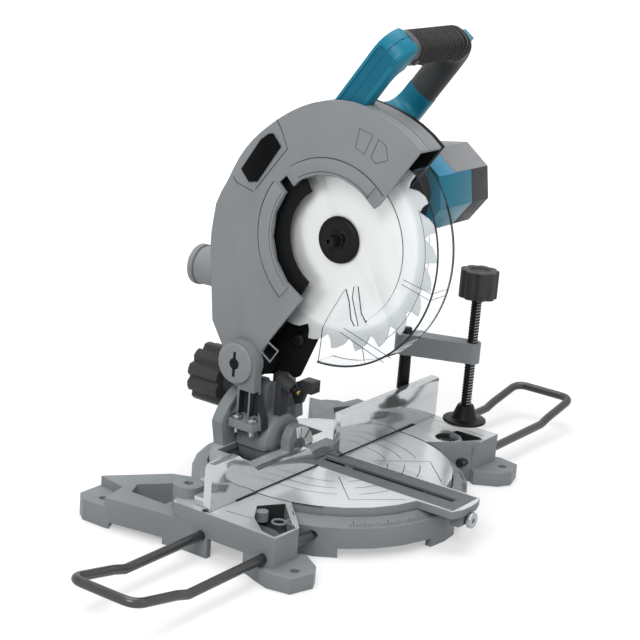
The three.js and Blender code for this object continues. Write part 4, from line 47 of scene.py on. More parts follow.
SLOT = {s["node"]: s["material_slot"] for s in frame["record"].get("subparts", []) if "material_slot" in s}
MM = 0.001

# The origin of the source's frame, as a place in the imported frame, in metres
SHIFT = Vector((-0.009, -0.006, 0))


def at(x, y, z):
    """A place in the source's frame, in millimetres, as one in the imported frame, in metres."""
    return Vector((x, y, z)) * MM + SHIFT


# Sizes that the source names alike, in millimetres; LOWER_START, MOTOR_TURN and HANDLE_LEAN are degrees
TABLE_TOP, TABLE_RADIUS = 42, 116.5
RIM_RADIUS, RIM_TOP, SKIRT_RADIUS, SKIRT_TOP = 118, 34, 132, 28.5
BLADE_Y, BLADE_Z, BLADE_RADIUS = 10, 257, 105
PIVOT_Y, PIVOT_Z, CHEEK_OUTER = 95, 123, 34
GUARD_LEFT, GUARD_BAND, BAND_PROUD = 22, 78, 1.6
LOWER_OUTER, LOWER_LEFT, LOWER_RIGHT, LOWER_SKIN, LOWER_START = 117, 17, 9.5, 1.5, 135
MOTOR_Y, MOTOR_Z, MOTOR_FLAT, MOTOR_TURN, MOTOR_END = -26, 303, 37.5, 8, 137
BAR_RADIUS, BAR_Z, BAR_REAR, BAR_FRONT, BAR_INNER_END = 4.3, 20, 5, 63, 118
BAR_KINK, BAR_TIP, BAR_TIP_Z, BAR_DRAWN_RIGHT = 286, 356, 38, 18
SCREW_X, SCREW_Y, SCREW_RADIUS, PAD_BOTTOM, SCREW_TOP = 170, -44, 5.5, 52, 207
POCKET_X, POCKET_Y, LUG_FRONT = 139, 44, 40
HANDLE_Y, HANDLE_Z, HANDLE_LEAN, HANDLE_THICK, HANDLE_CORNER = 2.5, 387.2, 54.6, 30, 24
HANDLE_LEFT, HANDLE_RIGHT, HANDLE_LENGTH, HANDLE_LIMB = 16, 114, 78, 17
GRIP_LOW, GRIP_START, TRIGGER_LEFT, TRIGGER_RIGHT, TRIGGER_THICK = 50, 4, 38, 72, 12

# The camera fitted to the photograph: degrees, the place aimed at in millimetres, and metres away from it
CAMERA_TURN, CAMERA_RISE, CAMERA_ROLL = -55.5, 16.4, 4.6
CAMERA_AIM, CAMERA_AWAY = (-37.7, 0, 189.1), 1.6085
FOCAL_PIXELS, PHOTO_PIXELS, SENSOR_WIDTH = 1761.2, 640, 36


def add_camera():
    turn, rise, roll = (math.radians(a) for a in (CAMERA_TURN, CAMERA_RISE, CAMERA_ROLL))
    back = Vector((math.sin(turn) * math.cos(rise), -math.cos(turn) * math.cos(rise), math.sin(rise)))
    level = Vector((math.cos(turn), math.sin(turn), 0))
    upright = back.cross(level)
    right = math.cos(roll) * level + math.sin(roll) * upright
    up = -math.sin(roll) * level + math.cos(roll) * upright
    place = at(*CAMERA_AIM) + back * CAMERA_AWAY
    data = bpy.data.cameras.new("camera")
    data.sensor_width = SENSOR_WIDTH
    data.sensor_fit = "HORIZONTAL"
    data.lens = FOCAL_PIXELS * SENSOR_WIDTH / PHOTO_PIXELS
    data.clip_start = 0.05
    data.clip_end = 50
    camera = bpy.data.objects.new("camera", data)
    bpy.context.scene.collection.objects.link(camera)
    m = Matrix.Identity(4)
    for i in range(3):
        m[i][0], m[i][1], m[i][2], m[i][3] = right[i], up[i], back[i], place[i]
    camera.matrix_world = m
    bpy.context.scene.camera = camera


add_camera()


# Materials
def srgb(code):
    parts = [int(code[i:i + 2], 16) / 255 for i in (1, 3, 5)]
    return [p / 12.92 if p <= 0.04045 else ((p + 0.055) / 1.055) ** 2.4 for p in parts]


class Shader:
    """A Principled material under construction."""

    def __init__(self, name, **sockets):
        self.mat = bpy.data.materials.new(name)
        self.mat.use_nodes = True
        self.tree = self.mat.node_tree
        self.bsdf = next(n for n in self.tree.nodes if n.type == "BSDF_PRINCIPLED")
        self.coord = self.tree.nodes.new("ShaderNodeTexCoord")
        self.normal = None
        for key, value in sockets.items():
            self.bsdf.inputs[key.replace("_", " ")].default_value = value

    def node(self, kind, **settings):
        n = self.tree.nodes.new(kind)
        for key, value in settings.items():
            setattr(n, key, value)
        return n

    def link(self, a, b):
        self.tree.links.new(a, b)

    def mapped(self, scale=(1, 1, 1), location=(0, 0, 0)):
        m = self.node("ShaderNodeMapping")
        m.inputs["Scale"].default_value = scale
        m.inputs["Location"].default_value = location
        self.link(self.coord.outputs["Object"], m.inputs["Vector"])
        return m.outputs["Vector"]

    def noise(self, scale, detail=3, rough=0.5, vector=None):
        n = self.node("ShaderNodeTexNoise")
        n.inputs["Scale"].default_value = scale
        n.inputs["Detail"].default_value = detail
        n.inputs["Roughness"].default_value = rough
        self.link(vector or self.coord.outputs["Object"], n.inputs["Vector"])
        return n.outputs["Fac"]

    def ramp(self, fac, stops):
        r = self.node("ShaderNodeValToRGB")
        elements = r.color_ramp.elements
        while len(elements) < len(stops):
            elements.new(0.5)
        for e, (pos, colour) in zip(elements, stops):
            e.position = pos
            e.color = (*colour, 1)
        self.link(fac, r.inputs["Fac"])
        return r.outputs["Color"]

    def math(self, op, a, b=None):
        m = self.node("ShaderNodeMath", operation=op)
        for i, v in enumerate((a, b)):
            if v is None:
                continue
            if isinstance(v, (int, float)):
                m.inputs[i].default_value = v
            else:
                self.link(v, m.inputs[i])
        return m.outputs[0]

    def mix(self, fac, a, b):
        m = self.node("ShaderNodeMix", data_type="RGBA")
        for key, v in (("Factor", fac), ("A", a), ("B", b)):
            kind = "VALUE" if key == "Factor" else "RGBA"
            socket = next(i for i in m.inputs if i.name == key and i.type == kind)
            if isinstance(v, (int, float)):
                socket.default_value = v
            elif isinstance(v, (list, tuple)):
                socket.default_value = (*v, 1)
            else:
                self.link(v, socket)
        return next(s for s in m.outputs if s.type == "RGBA")

    def bump(self, height, distance, strength=1.0):
        b = self.node("ShaderNodeBump")
        b.inputs["Distance"].default_value = distance
        b.inputs["Strength"].default_value = strength
        self.link(height, b.inputs["Height"])
        if self.normal is not None:
            self.link(self.normal, b.inputs["Normal"])
        self.normal = b.outputs["Normal"]
        self.link(self.normal, self.bsdf.inputs["Normal"])

    def blend(self, share, a, b):
        """One value's share and the rest of another."""
        return self.math("ADD", self.math("MULTIPLY", a, share), self.math("MULTIPLY", b, 1 - share))

    def distance(self, centre, axes):
        """Distance from a centre, in the plane of two axes."""
        parts = self.node("ShaderNodeSeparateXYZ")
        self.link(self.mapped(location=-centre), parts.inputs[0])
        squares = [self.math("MULTIPLY", parts.outputs[i], parts.outputs[i]) for i in axes]
        return self.math("SQRT", self.math("ADD", *squares))

    def ring_vector(self, share, scale):
        """A vector that changes with the radius alone, for rings."""
        joined = self.node("ShaderNodeCombineXYZ")
        self.link(self.math("MULTIPLY", share, scale), joined.inputs[0])
        return joined.outputs[0]

    def colour(self, socket):
        self.link(socket, self.bsdf.inputs["Base Color"])

    def rough(self, fac, low, high):
        m = self.node("ShaderNodeMapRange")
        m.inputs["To Min"].default_value = low
        m.inputs["To Max"].default_value = high
        m.inputs["From Min"].default_value = 0.3
        m.inputs["From Max"].default_value = 0.7
        self.link(fac, m.inputs["Value"])
        self.link(m.outputs["Result"], self.bsdf.inputs["Roughness"])


def tint(rgb, k):
    return [min(1, c * k) for c in rgb]


def painted(name, code, rough=(0.42, 0.56), wear=0.12, metallic=0.0, shine=0.22):
    """Powder coat or paint on a casting: fine orange peel, slow mottling, edges a little lighter."""
    grain, depth, mottle = 1400, 0.00006, 0.05
    s = Shader(name, Metallic=metallic, Specular_IOR_Level=shine)
    base = srgb(code)
    tone = s.ramp(s.noise(14, 4), [(0.3, tint(base, 1 - mottle)), (0.7, tint(base, 1 + mottle))])
    speck = s.noise(grain * 1.7, 2, 0.6)
    tone = s.mix(s.math("MULTIPLY", s.math("SUBTRACT", speck, 0.5), 0.5), tone, tint(base, 1.35))
    geometry = s.node("ShaderNodeNewGeometry")
    edge = s.ramp(geometry.outputs["Pointiness"], [(0.5, (0, 0, 0)), (0.56, (1, 1, 1))])
    tone = s.mix(s.math("MULTIPLY", edge, wear), tone, tint(base, 1.5))
    s.colour(tone)
    s.rough(s.noise(60, 3), *rough)
    s.bump(s.noise(grain, 3, 0.6), depth)
    return s


def moulded(name, code, rough, grain=2500, depth=0.00003, mottle=0.035, sheen=0.0, shine=0.2):
    """Moulded plastic: fine spark-eroded grain and a faint flow mottling."""
    s = Shader(name, Specular_IOR_Level=shine, Sheen_Weight=sheen)
    base = srgb(code)
    s.colour(s.ramp(s.noise(25, 3), [(0.3, tint(base, 1 - mottle)), (0.7, tint(base, 1 + mottle))]))
    s.rough(s.noise(90, 2), *rough)
    s.bump(s.noise(grain, 2, 0.6), depth)
    return s


def metal(name, code, rough, axis=(1, 1, 1), grain=400, metallic=1.0):
    """Turned or brushed metal: lines drawn out along an axis, and handling marks."""
    depth, mottle = 0.00002, 0.06
    s = Shader(name, Metallic=metallic)
    base = srgb(code)
    lines = s.noise(grain, 4, 0.7, s.mapped(axis))
    smudge = s.noise(30, 3)
    tones = [(0.35, tint(base, 1 - mottle)), (0.65, tint(base, 1 + mottle))]
    s.colour(s.ramp(s.blend(0.6, lines, smudge), tones))
    s.rough(s.blend(0.5, lines, smudge), *rough)
    s.bump(lines, depth)
    return s


def table_metal(name, code):
    """Faced cast metal, polished by wood: fine lathe rings about the table's pivot and soft smudges."""
    ring_pitch, depth = 0.0009, 0.000006
    s = Shader(name, Metallic=0.5)
    base = srgb(code)
    radius = s.distance(SHIFT, (0, 1))
    rings = s.math("SINE", s.math("MULTIPLY", radius, 2 * math.pi / ring_pitch))
    wobble = s.noise(300, 3, 0.6)
    smudge = s.noise(16, 4)
    s.colour(s.ramp(smudge, [(0.3, tint(base, 0.92)), (0.7, tint(base, 1.06))]))
    s.rough(s.blend(0.7, smudge, wobble), 0.14, 0.26)
    s.bump(rings, depth, 0.5)
    s.bump(wobble, depth)
    return s


def blade_metal():
    """Ground saw steel: rings about the spindle, a paler middle and a duller rim behind the teeth."""
    s = Shader("blade_ground", Metallic=0.3)
    share = s.math("DIVIDE", s.distance(at(0, BLADE_Y, BLADE_Z), (1, 2)), BLADE_RADIUS * MM)
    stops = ((0.2, "#eceeee"), (0.8, "#f3f5f5"), (0.83, "#d9dcdd"), (0.88, "#cdd0d1"))
    tone = s.ramp(share, [(place, srgb(code)) for place, code in stops])
    grain = s.noise(1, 2, 0.5, s.ring_vector(share, 260))
    s.colour(s.mix(s.math("MULTIPLY", grain, 0.12), tone, srgb("#a9adae")))
    s.rough(grain, 0.28, 0.42)
    s.bump(grain, 0.00001, 0.6)
    return s


def clear_plastic():
    """Clear polycarbonate, faintly grey, with light scratches."""
    s = Shader("clear_guard", Roughness=0.03, IOR=1.12, Transmission_Weight=1.0)
    scratches = s.noise(900, 2, 0.7, s.mapped((1, 0.1, 1)))
    s.colour(s.ramp(scratches, [(0.4, (0.93, 0.95, 0.96)), (0.7, (0.98, 0.985, 0.99))]))
    s.bump(scratches, 0.000004)
    return s


MATERIALS = {
    "casting": painted("base_grey", "#7d8285", wear=0.2),
    "guard": painted("guard_grey", "#888c8f"),
    "machined": metal("fence_polish", "#c1c4c6", (0.06, 0.14), (1, 1, 0.05), 600, metallic=0.8),
    "plate_black": painted("black_paint", "#151617", (0.4, 0.55), wear=0.05, shine=0.08),
    "insert": moulded("insert_grey", "#6b7072", (0.45, 0.6), 1800, 0.00005),
    "shell_blue": moulded("shell_blue", "#18768f", (0.28, 0.38)),
    "shell_grey": moulded("shell_grey", "#3e3f41", (0.4, 0.55)),
    "grip": moulded("grip_rubber", "#464748", (0.55, 0.75), 1600, 0.00006, 0.08, 0.3),
    "knob": moulded("knob_black", "#404041", (0.4, 0.55), shine=0.15),
    "blade": metal("blade_steel", "#dadddd", (0.16, 0.28), (1, 1, 1), 500),
    "steel": metal("bright_steel", "#a2a5a8", (0.25, 0.4)),
    "black_steel": painted("black_steel", "#1a1a1b", (0.35, 0.5), wear=0.25, metallic=0.3, shine=0.15),
    "bar": metal("bar_steel", "#4c4c4d", (0.25, 0.4), (0.06, 1, 1), 500, metallic=0.7),
    "windings": metal("copper", "#b0683a", (0.35, 0.5), (0.2, 1, 1), 900),
    "lens": metal("brass", "#c8a04a", (0.2, 0.35)),
    "scale": moulded("scale_white", "#eeeeea", (0.4, 0.5)),
    "clear": clear_plastic(),
}
TABLE = table_metal("table_faced", "#d9dcde")
WING_TOP = table_metal("wing_machined", "#c9cccd")
BLADE = blade_metal()
CASTING = MATERIALS["casting"]
POLISH = MATERIALS["machined"]
BARE_BLACK = moulded("plate_satin", "#0c0c0d", (0.3, 0.42), shine=0.05)
SEAM = moulded("seam_dark", "#3a3f41", (0.6, 0.8))
GROOVE = moulded("groove_dark", "#343839", (0.5, 0.7))
BLUE_SEAM = moulded("seam_blue", "#0d4d60", (0.5, 0.7))
SLIT = moulded("slit_black", "#060606", (0.6, 0.8))
# A dark plastic for the clear guard's edge faces and lines: painted shade
CLEAR_EDGE_SHADE = moulded("clear_edge_shade", "#25292b", (0.15, 0.25))
SCALE_INK = moulded("scale_green", "#0f4a48", (0.4, 0.5))
# A darker copy of the shell's blue for the handle's sunk panel: painted shade
BLUE_PANEL_SHADE = moulded("shell_blue_panel_shade", "#0d6680", (0.32, 0.42))
# Lighter copies of the motor's blue and the end cap's grey for their top facets: painted highlight
BLUE_TOP_HIGHLIGHT = moulded("shell_blue_top_painted_highlight", "#4495bd", (0.28, 0.38))
GREY_TOP_HIGHLIGHT = moulded("cap_grey_top_painted_highlight", "#8f9193", (0.4, 0.55))
# A darker paint for the insides of recesses and pockets: painted shade
RECESS_SHADE = painted("recess_painted_shade", "#2b2e2f", wear=0.05)
# A darker rubber for the faces between the grip's ribs: painted shade
GRIP_VALLEY_SHADE = moulded("grip_valley_shade", "#161617", (0.6, 0.8))
# A lighter steel for the thread crests on the side towards the lamps: painted highlight
THREAD_HIGHLIGHT = metal("thread_crest_highlight", "#8a8c8d", (0.3, 0.45))
# A pale grey for a strip along the upper guard's crown: painted highlight
RIDGE_HIGHLIGHT = moulded("ridge_painted_highlight", "#aeb3b5", (0.4, 0.55))


def link(obj):
    bpy.context.scene.collection.objects.link(obj)
    return obj


def paint(obj, shader):
    obj.data.materials.clear()
    obj.data.materials.append(shader.mat)


def smooth(obj, angle=35):
    """Soft shading across gentle edges, sharp across the others."""
    for polygon in obj.data.polygons:
        polygon.use_smooth = True
    obj.data.set_sharp_from_angle(angle=math.radians(angle))


def piece(name, bm, body, slot, *shaders, angle=35):
    """A piece of its own, riding on a body."""
    mesh = bpy.data.meshes.new(name)
    bmesh.ops.recalc_face_normals(bm, faces=bm.faces)
    bm.to_mesh(mesh)
    bm.free()
    obj = link(bpy.data.objects.new(name, mesh))
    for shader in shaders:
        mesh.materials.append(shader.mat)
    smooth(obj, angle)
    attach(obj, body)
    return obj


def softened(node, radius, segments=2, angle=30):
    """A CAD node's faces joined up again, with its hard edges rounded."""
    weld, flat, shortest = 0.00002, math.radians(0.8), 0.0006
    bm = bmesh.new()
    bm.from_mesh(nodes[node].data)
    bmesh.ops.remove_doubles(bm, verts=bm.verts, dist=weld)
    bmesh.ops.dissolve_limit(bm, angle_limit=flat, verts=bm.verts, edges=bm.edges)
    bend = math.radians(angle)
    hard = [
        e for e in bm.edges
        if len(e.link_faces) == 2 and e.calc_face_angle(0) > bend and e.calc_length() > shortest
    ]
    bmesh.ops.bevel(
        bm, geom=hard, offset=radius * MM, offset_type="OFFSET", segments=segments,
        profile=0.6, affect="EDGES", clamp_overlap=True, miter_outer="ARC",
    )
    return bm


def dress(node, radius, material, faces):
    """The node as a mesh of its own; faces holds pairs of a test on place and normal, and a shader."""
    bm = softened(node, radius)
    main = material or MATERIALS[SLOT[node]]
    obj = piece(node + "_skin", bm, BODY[node], SLOT[node], main, *[shader for _, shader in faces])
    for polygon in obj.data.polygons:
        place = (polygon.center - SHIFT) / MM
        for i, (test, _) in enumerate(faces):
            if test(place, polygon.normal):
                polygon.material_index = i + 1
    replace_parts(obj, node)
    return obj


def rounded(node):
    """A faceted round node, subdivided until its outline is smooth."""
    radius, levels = 0.4, 2
    bm = softened(node, radius, 1, 50)
    obj = piece(node + "_round", bm, BODY[node], SLOT[node], MATERIALS[SLOT[node]], angle=60)
    modifier = obj.modifiers.new("round", "SUBSURF")
    modifier.levels = modifier.render_levels = levels
    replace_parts(obj, node)
    return obj


def apply_modifiers(obj):
    depsgraph = bpy.context.evaluated_depsgraph_get()
    mesh = bpy.data.meshes.new_from_object(obj.evaluated_get(depsgraph))
    obj.modifiers.clear()
    obj.data = mesh


def carve(obj, bm):
    """Cuts the tool's shape out of a piece."""
    mesh = bpy.data.meshes.new("tool")
    bmesh.ops.recalc_face_normals(bm, faces=bm.faces)
    bm.to_mesh(mesh)
    bm.free()
    tool = link(bpy.data.objects.new("tool", mesh))
    modifier = obj.modifiers.new("cut", "BOOLEAN")
    modifier.object = tool
    modifier.operation = "DIFFERENCE"
    modifier.solver = "EXACT"
    apply_modifiers(obj)
    bpy.data.objects.remove(tool)
    smooth(obj)


# Mesh builders; places are vectors in metres
UP = Vector((0, 0, 1))
LEFT = Vector((-1, 0, 0))
FRONT = Vector((0, -1, 0))

# How far a strip's edges reach into the face under it, in metres
SUNK = 0.0002


def skin(bm, rings, closed=False, material=0):
    """Faces between rings of as many vertices each, and over the ends of an open run."""
    rows = [[bm.verts.new(p) for p in ring] for ring in rings]
    count = len(rows[0])
    pairs = list(zip(rows, rows[1:])) + ([(rows[-1], rows[0])] if closed else [])
    for low, high in pairs:
        for i in range(count):
            j = (i + 1) % count
            bm.faces.new((low[i], low[j], high[j], high[i])).material_index = material
    if not closed:
        bm.faces.new(rows[0]).material_index = material
        bm.faces.new(rows[-1]).material_index = material


def prism(bm, outline, lift, cap=0, side=0):
    """A flat outline of vectors, lifted along a vector; cap and side are the materials of ends and sides."""
    low = [bm.verts.new(p) for p in outline]
    high = [bm.verts.new(p + lift) for p in outline]
    bm.faces.new(low).material_index = cap
    bm.faces.new(high).material_index = cap
    for i in range(len(low)):
        j = (i + 1) % len(low)
        bm.faces.new((low[i], low[j], high[j], high[i])).material_index = side


def tangents(points, closed):
    count = len(points)
    result = []
    for i, p in enumerate(points):
        before = points[i - 1] if i or closed else p
        after = points[(i + 1) % count] if i < count - 1 or closed else p
        result.append((after - before).normalized())
    return result


def strokes(name, body, slot, shader, lines):
    """Thin raised strips; each: points, normal or normals, width and height in mm, and whether it closes."""
    bm = bmesh.new()
    for points, normal, width, height, closed in lines:
        normals = normal if isinstance(normal, list) else [normal] * len(points)
        rings = []
        for p, n, t in zip(points, normals, tangents(points, closed)):
            side = n.cross(t).normalized() * width * MM / 2
            crown, sunk = n * height * MM, n * SUNK
            rings.append([p - side - sunk, p - side * 0.7 + crown, p + side * 0.7 + crown, p + side - sunk])
        skin(bm, rings, closed)
    return piece(name, bm, body, slot, shader)


def tube(bm, points, radius, sides=16, closed=False, material=0):
    """A round bar along a path, its frame carried along without twist."""
    turns = [2 * math.pi * k / sides for k in range(sides)]
    rings = []
    normal = None
    for p, t in zip(points, tangents(points, closed)):
        if normal is None:
            normal = t.orthogonal().normalized()
        normal = (normal - t * normal.dot(t)).normalized()
        across = t.cross(normal)
        rings.append([p + (normal * math.cos(a) + across * math.sin(a)) * radius * MM for a in turns])
    skin(bm, rings, closed, material=material)


def filleted(points, radius):
    """A path of straight lines with its corners rounded; radius in metres."""
    steps, share = 8, 0.48
    path = [points[0]]
    for before, p, after in zip(points, points[1:], points[2:]):
        a, b = (before - p).normalized(), (after - p).normalized()
        half = a.angle(b) / 2
        reach = min(radius / math.tan(half), (before - p).length * share, (after - p).length * share)
        for i in range(steps + 1):
            t = i / steps
            path.append((p + a * reach) * (1 - t) ** 2 + p * 2 * t * (1 - t) + (p + b * reach) * t ** 2)
    return path + [points[-1]]


def side_point(x, radius, degree, y=BLADE_Y, z=BLADE_Z):
    """A place on a circle in a plane across X, in degrees from +Y towards +Z."""
    turn = math.radians(degree)
    return at(x, y + radius * math.cos(turn), z + radius * math.sin(turn))


def side_arc(x, radius, start, end, steps, y=BLADE_Y, z=BLADE_Z):
    """Places along such a circle."""
    return [side_point(x, radius, start + (end - start) * i / steps, y, z) for i in range(steps + 1)]


def top_arc(radius, start, end, z):
    """Places on a circle about the table's pivot, in degrees from +X towards +Y."""
    steps = 16
    turns = [math.radians(start + (end - start) * i / steps) for i in range(steps + 1)]
    return [at(radius * math.cos(t), radius * math.sin(t), z) for t in turns]


def top_ring(x, y, z, radius, sides):
    """The corners of a level polygon."""
    turns = [math.radians(360 / sides * i) for i in range(sides)]
    return [at(x + radius * math.cos(t), y + radius * math.sin(t), z) for t in turns]


# Rounded and recoloured nodes: tests on a face's middle in millimetres and on its normal
CHEEK_RECESS = ((-33.6, -24), (58, 95), (60, 96))


def up_at(height):
    return lambda p, n: n.z > 0.6 and abs(p.z - height) < 1.2


def top_facet(p, n):
    return n.z > 0.7


def fence_face(p, n):
    return n.y < -0.5 or n.x < -0.7 or (n.z > 0.5 and p.y < 9)


def in_cheek_recess(p, n):
    return n.z <= 0.9 and all(low < c < high for c, (low, high) in zip(p, CHEEK_RECESS))


SPECIAL = {
    "badge_plate": BARE_BLACK, "blade": BLADE, "turntable": CASTING, "fence": CASTING,
    "clamp_arm": MATERIALS["guard"],
}
FACES = {
    "turntable": [(up_at(TABLE_TOP), TABLE)],
    "base_casting": [(up_at(TABLE_TOP), WING_TOP)],
    "fence": [(fence_face, POLISH)],
    # The motor's and the end cap's top facets take lighter copies of their colours as painted highlight
    "motor_housing": [(top_facet, BLUE_TOP_HIGHLIGHT)],
    "motor_end_cap": [(top_facet, GREY_TOP_HIGHLIGHT)],
    # Faces inside the bevel arm's cheek recess take painted shade
    "bevel_arm": [(in_cheek_recess, RECESS_SHADE)],
}
PLAIN_ROUNDING = 0.35
ROUNDING = {
    "base_casting": 0.8, "upper_guard": 0.8, "handle_body": 0.8, "bevel_arm": 0.8, "motor_housing": 1.0,
    "motor_end_cap": 1.0, "clamp_knob": 1.0, "bevel_lock_knob": 1.2, "blade": 0.1,
}
HIDDEN = {"stator", "armature", "pinion", "driven_gear", "turntable_nut", "spindle"}
SMOOTH = {"clamp_post", "arbor_bolt", "outer_flange", "dust_port", "laser_module", "laser_lens", "clamp_pad"}
REBUILT = {"handle_grip", "lower_guard", "clamp_screw", "extension_bar_left", "extension_bar_right"}
SKINS = {}
for name in nodes:
    if name in HIDDEN:
        paint(nodes[name], MATERIALS[SLOT[name]])
    elif name in SMOOTH:
        SKINS[name] = rounded(name)
    elif name not in REBUILT:
        SKINS[name] = dress(name, ROUNDING.get(name, PLAIN_ROUNDING), SPECIAL.get(name), FACES.get(name, ()))


# Round extension bars with a kinked, raised end
def extension_bar(side, drawn):
    node = "extension_bar_" + ("left" if side < 0 else "right")
    kink_run, kink_rise, corner = 14, 4, 13
    flat = [
        (BAR_INNER_END, BAR_Z), (BAR_KINK, BAR_Z), (BAR_KINK + kink_run, BAR_Z + kink_rise),
        (BAR_TIP - BAR_RADIUS, BAR_TIP_Z - BAR_RADIUS),
    ]
    rear = [at(side * (x + drawn), BAR_REAR, z) for x, z in flat]
    front = [at(side * (x + drawn), -BAR_FRONT, z) for x, z in reversed(flat)]
    bm = bmesh.new()
    tube(bm, filleted(rear + front, corner * MM), BAR_RADIUS, 20)
    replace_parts(piece(node + "_round", bm, BODY[node], SLOT[node], MATERIALS[SLOT[node]]), node)


extension_bar(-1, 0)
extension_bar(1, BAR_DRAWN_RIGHT)


# Clamp screw with a thread of two starts: crests 3 mm apart, 6 mm of feed in a turn
def clamp_screw():
    pitch, starts, depth, sides, rise = 3, 2, 0.7, 28, 0.375
    low, high, crest = PAD_BOTTOM + 6, SCREW_TOP, SCREW_RADIUS - 0.4
    bright_side, steepness = Vector((0.57, -0.82)), 1.6
    turns = [2 * math.pi * k / sides for k in range(sides)]
    rings = []
    for i in range(int((high - low) / rise) + 1):
        z = low + i * rise
        ring = []
        for k, turn in enumerate(turns):
            wave = abs(((z / pitch - starts * k / sides) % 1) * 2 - 1)
            radius = SCREW_RADIUS - depth * min(1, wave * steepness)
            ring.append(at(SCREW_X + radius * math.cos(turn), SCREW_Y + radius * math.sin(turn), z))
        rings.append(ring)
    bm = bmesh.new()
    skin(bm, rings)
    steel = MATERIALS[SLOT["clamp_screw"]]
    obj = piece("clamp_screw_thread", bm, BODY["clamp_screw"], SLOT["clamp_screw"], steel, THREAD_HIGHLIGHT, angle=60)
    # Side faces of the crests on the bright side take the lighter steel as painted highlight
    for polygon in obj.data.polygons:
        away = (polygon.center - at(SCREW_X, SCREW_Y, 0)).xy
        on_lit_side = away.dot(bright_side) > 0.1 * away.length
        if away.length > crest * MM and on_lit_side and abs(polygon.normal.z) < 0.9:
            polygon.material_index = 1
    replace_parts(obj, "clamp_screw")


clamp_screw()

# The handle's own plane: U across the saw, V up along its limbs, N out of it towards the operator
LEAN = math.radians(HANDLE_LEAN)
ACROSS = Vector((1, 0, 0))
ALONG = Vector((0, -math.cos(LEAN), math.sin(LEAN)))
OUT = Vector((0, -math.sin(LEAN), -math.cos(LEAN)))
INNER_CORNER = 12


def in_handle(u, v, n):
    return at(0, HANDLE_Y, HANDLE_Z) + (ACROSS * u + ALONG * v + OUT * n) * MM


def grip_section(turn):
    """Outer and inner edge of the grip where a ray from the inner corner's centre crosses it."""
    cu, cv = HANDLE_RIGHT - HANDLE_LIMB - INNER_CORNER, GRIP_LOW - INNER_CORNER
    c, s = math.cos(turn), math.sin(turn)
    inner = (cu + INNER_CORNER * c, cv + INNER_CORNER * s)
    corner_u, corner_v = HANDLE_RIGHT - HANDLE_CORNER, HANDLE_LENGTH - HANDLE_CORNER
    if s > 0 and cu + (HANDLE_LENGTH - cv) / s * c <= corner_u:
        reach = (HANDLE_LENGTH - cv) / s
    elif c > 0 and cv + (HANDLE_RIGHT - cu) / c * s <= corner_v:
        reach = (HANDLE_RIGHT - cu) / c
    else:
        du, dv = cu - corner_u, cv - corner_v
        b = du * c + dv * s
        reach = -b + math.sqrt(b * b - (du * du + dv * dv - HANDLE_CORNER ** 2))
    return (cu + reach * c, cv + reach * s), inner


def grip():
    """The ribbed grip, from sections along it: outer edge, inner edge, and whether it lies between ribs."""
    pitch, depth, half = 2.6, 1.1, (HANDLE_LENGTH - GRIP_LOW) / 2
    first_rib, straight_end, limb_top, limb_run = 12, 85, 38, 37
    corner_count, limb_count, around = 36, 8, 44
    squareness, smooth_side = 0.72, -0.72
    sections = []
    u = GRIP_START
    while u <= straight_end:
        between = u > first_rib and (u - first_rib) % pitch < pitch / 2
        sections.append(((u, HANDLE_LENGTH), (u, GRIP_LOW), between))
        u += pitch / 4
    for i in range(1, corner_count + 1):
        outer, inner = grip_section(math.pi / 2 * (1 - i / corner_count))
        sections.append((outer, inner, i < corner_count * 0.3 and i % 4 in (1, 2)))
    for i in range(1, limb_count + 1):
        v = limb_top - limb_run * i / limb_count
        sections.append(((HANDLE_RIGHT, v), (HANDLE_RIGHT - HANDLE_LIMB, v), False))
    rings = []
    for (ou, ov), (iu, iv), between in sections:
        mu, mv, hu, hv = (ou + iu) / 2, (ov + iv) / 2, (ou - iu) / 2, (ov - iv) / 2
        ring = []
        for k in range(around):
            turn = 2 * math.pi * k / around
            c, s = math.cos(turn), math.sin(turn)
            along = math.copysign(abs(c) ** squareness, c)
            across = math.copysign(abs(s) ** squareness, s)
            cut = 1 - depth / half if between and c > smooth_side else 1
            n = HANDLE_THICK / 2 * across * cut
            ring.append(in_handle(mu + hu * along * cut, mv + hv * along * cut, n))
        rings.append(ring)
    bm = bmesh.new()
    skin(bm, rings)
    body, slot, rubber = BODY["handle_grip"], SLOT["handle_grip"], MATERIALS["grip"]
    obj = piece("handle_grip_ribbed", bm, body, slot, rubber, GRIP_VALLEY_SHADE, angle=50)
    # Faces between the ribs, on the ribbed side, take painted shade
    for i, polygon in enumerate(obj.data.polygons):
        row, k = divmod(i, around)
        ribbed_side = math.cos(2 * math.pi * (k + 0.5) / around) > smooth_side
        if row + 1 < len(sections) and sections[row][2] and ribbed_side:
            polygon.material_index = 1
    near, far, low, high = TRIGGER_LEFT - 1, TRIGGER_RIGHT + 1, 44, 57.5
    thick = TRIGGER_THICK + 1.2
    room = bmesh.new()
    outline = [in_handle(u, v, -thick / 2) for u, v in ((near, low), (far, low), (far, high), (near, high))]
    prism(room, outline, OUT * thick * MM)
    carve(obj, room)
    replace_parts(obj, "handle_grip")


grip()


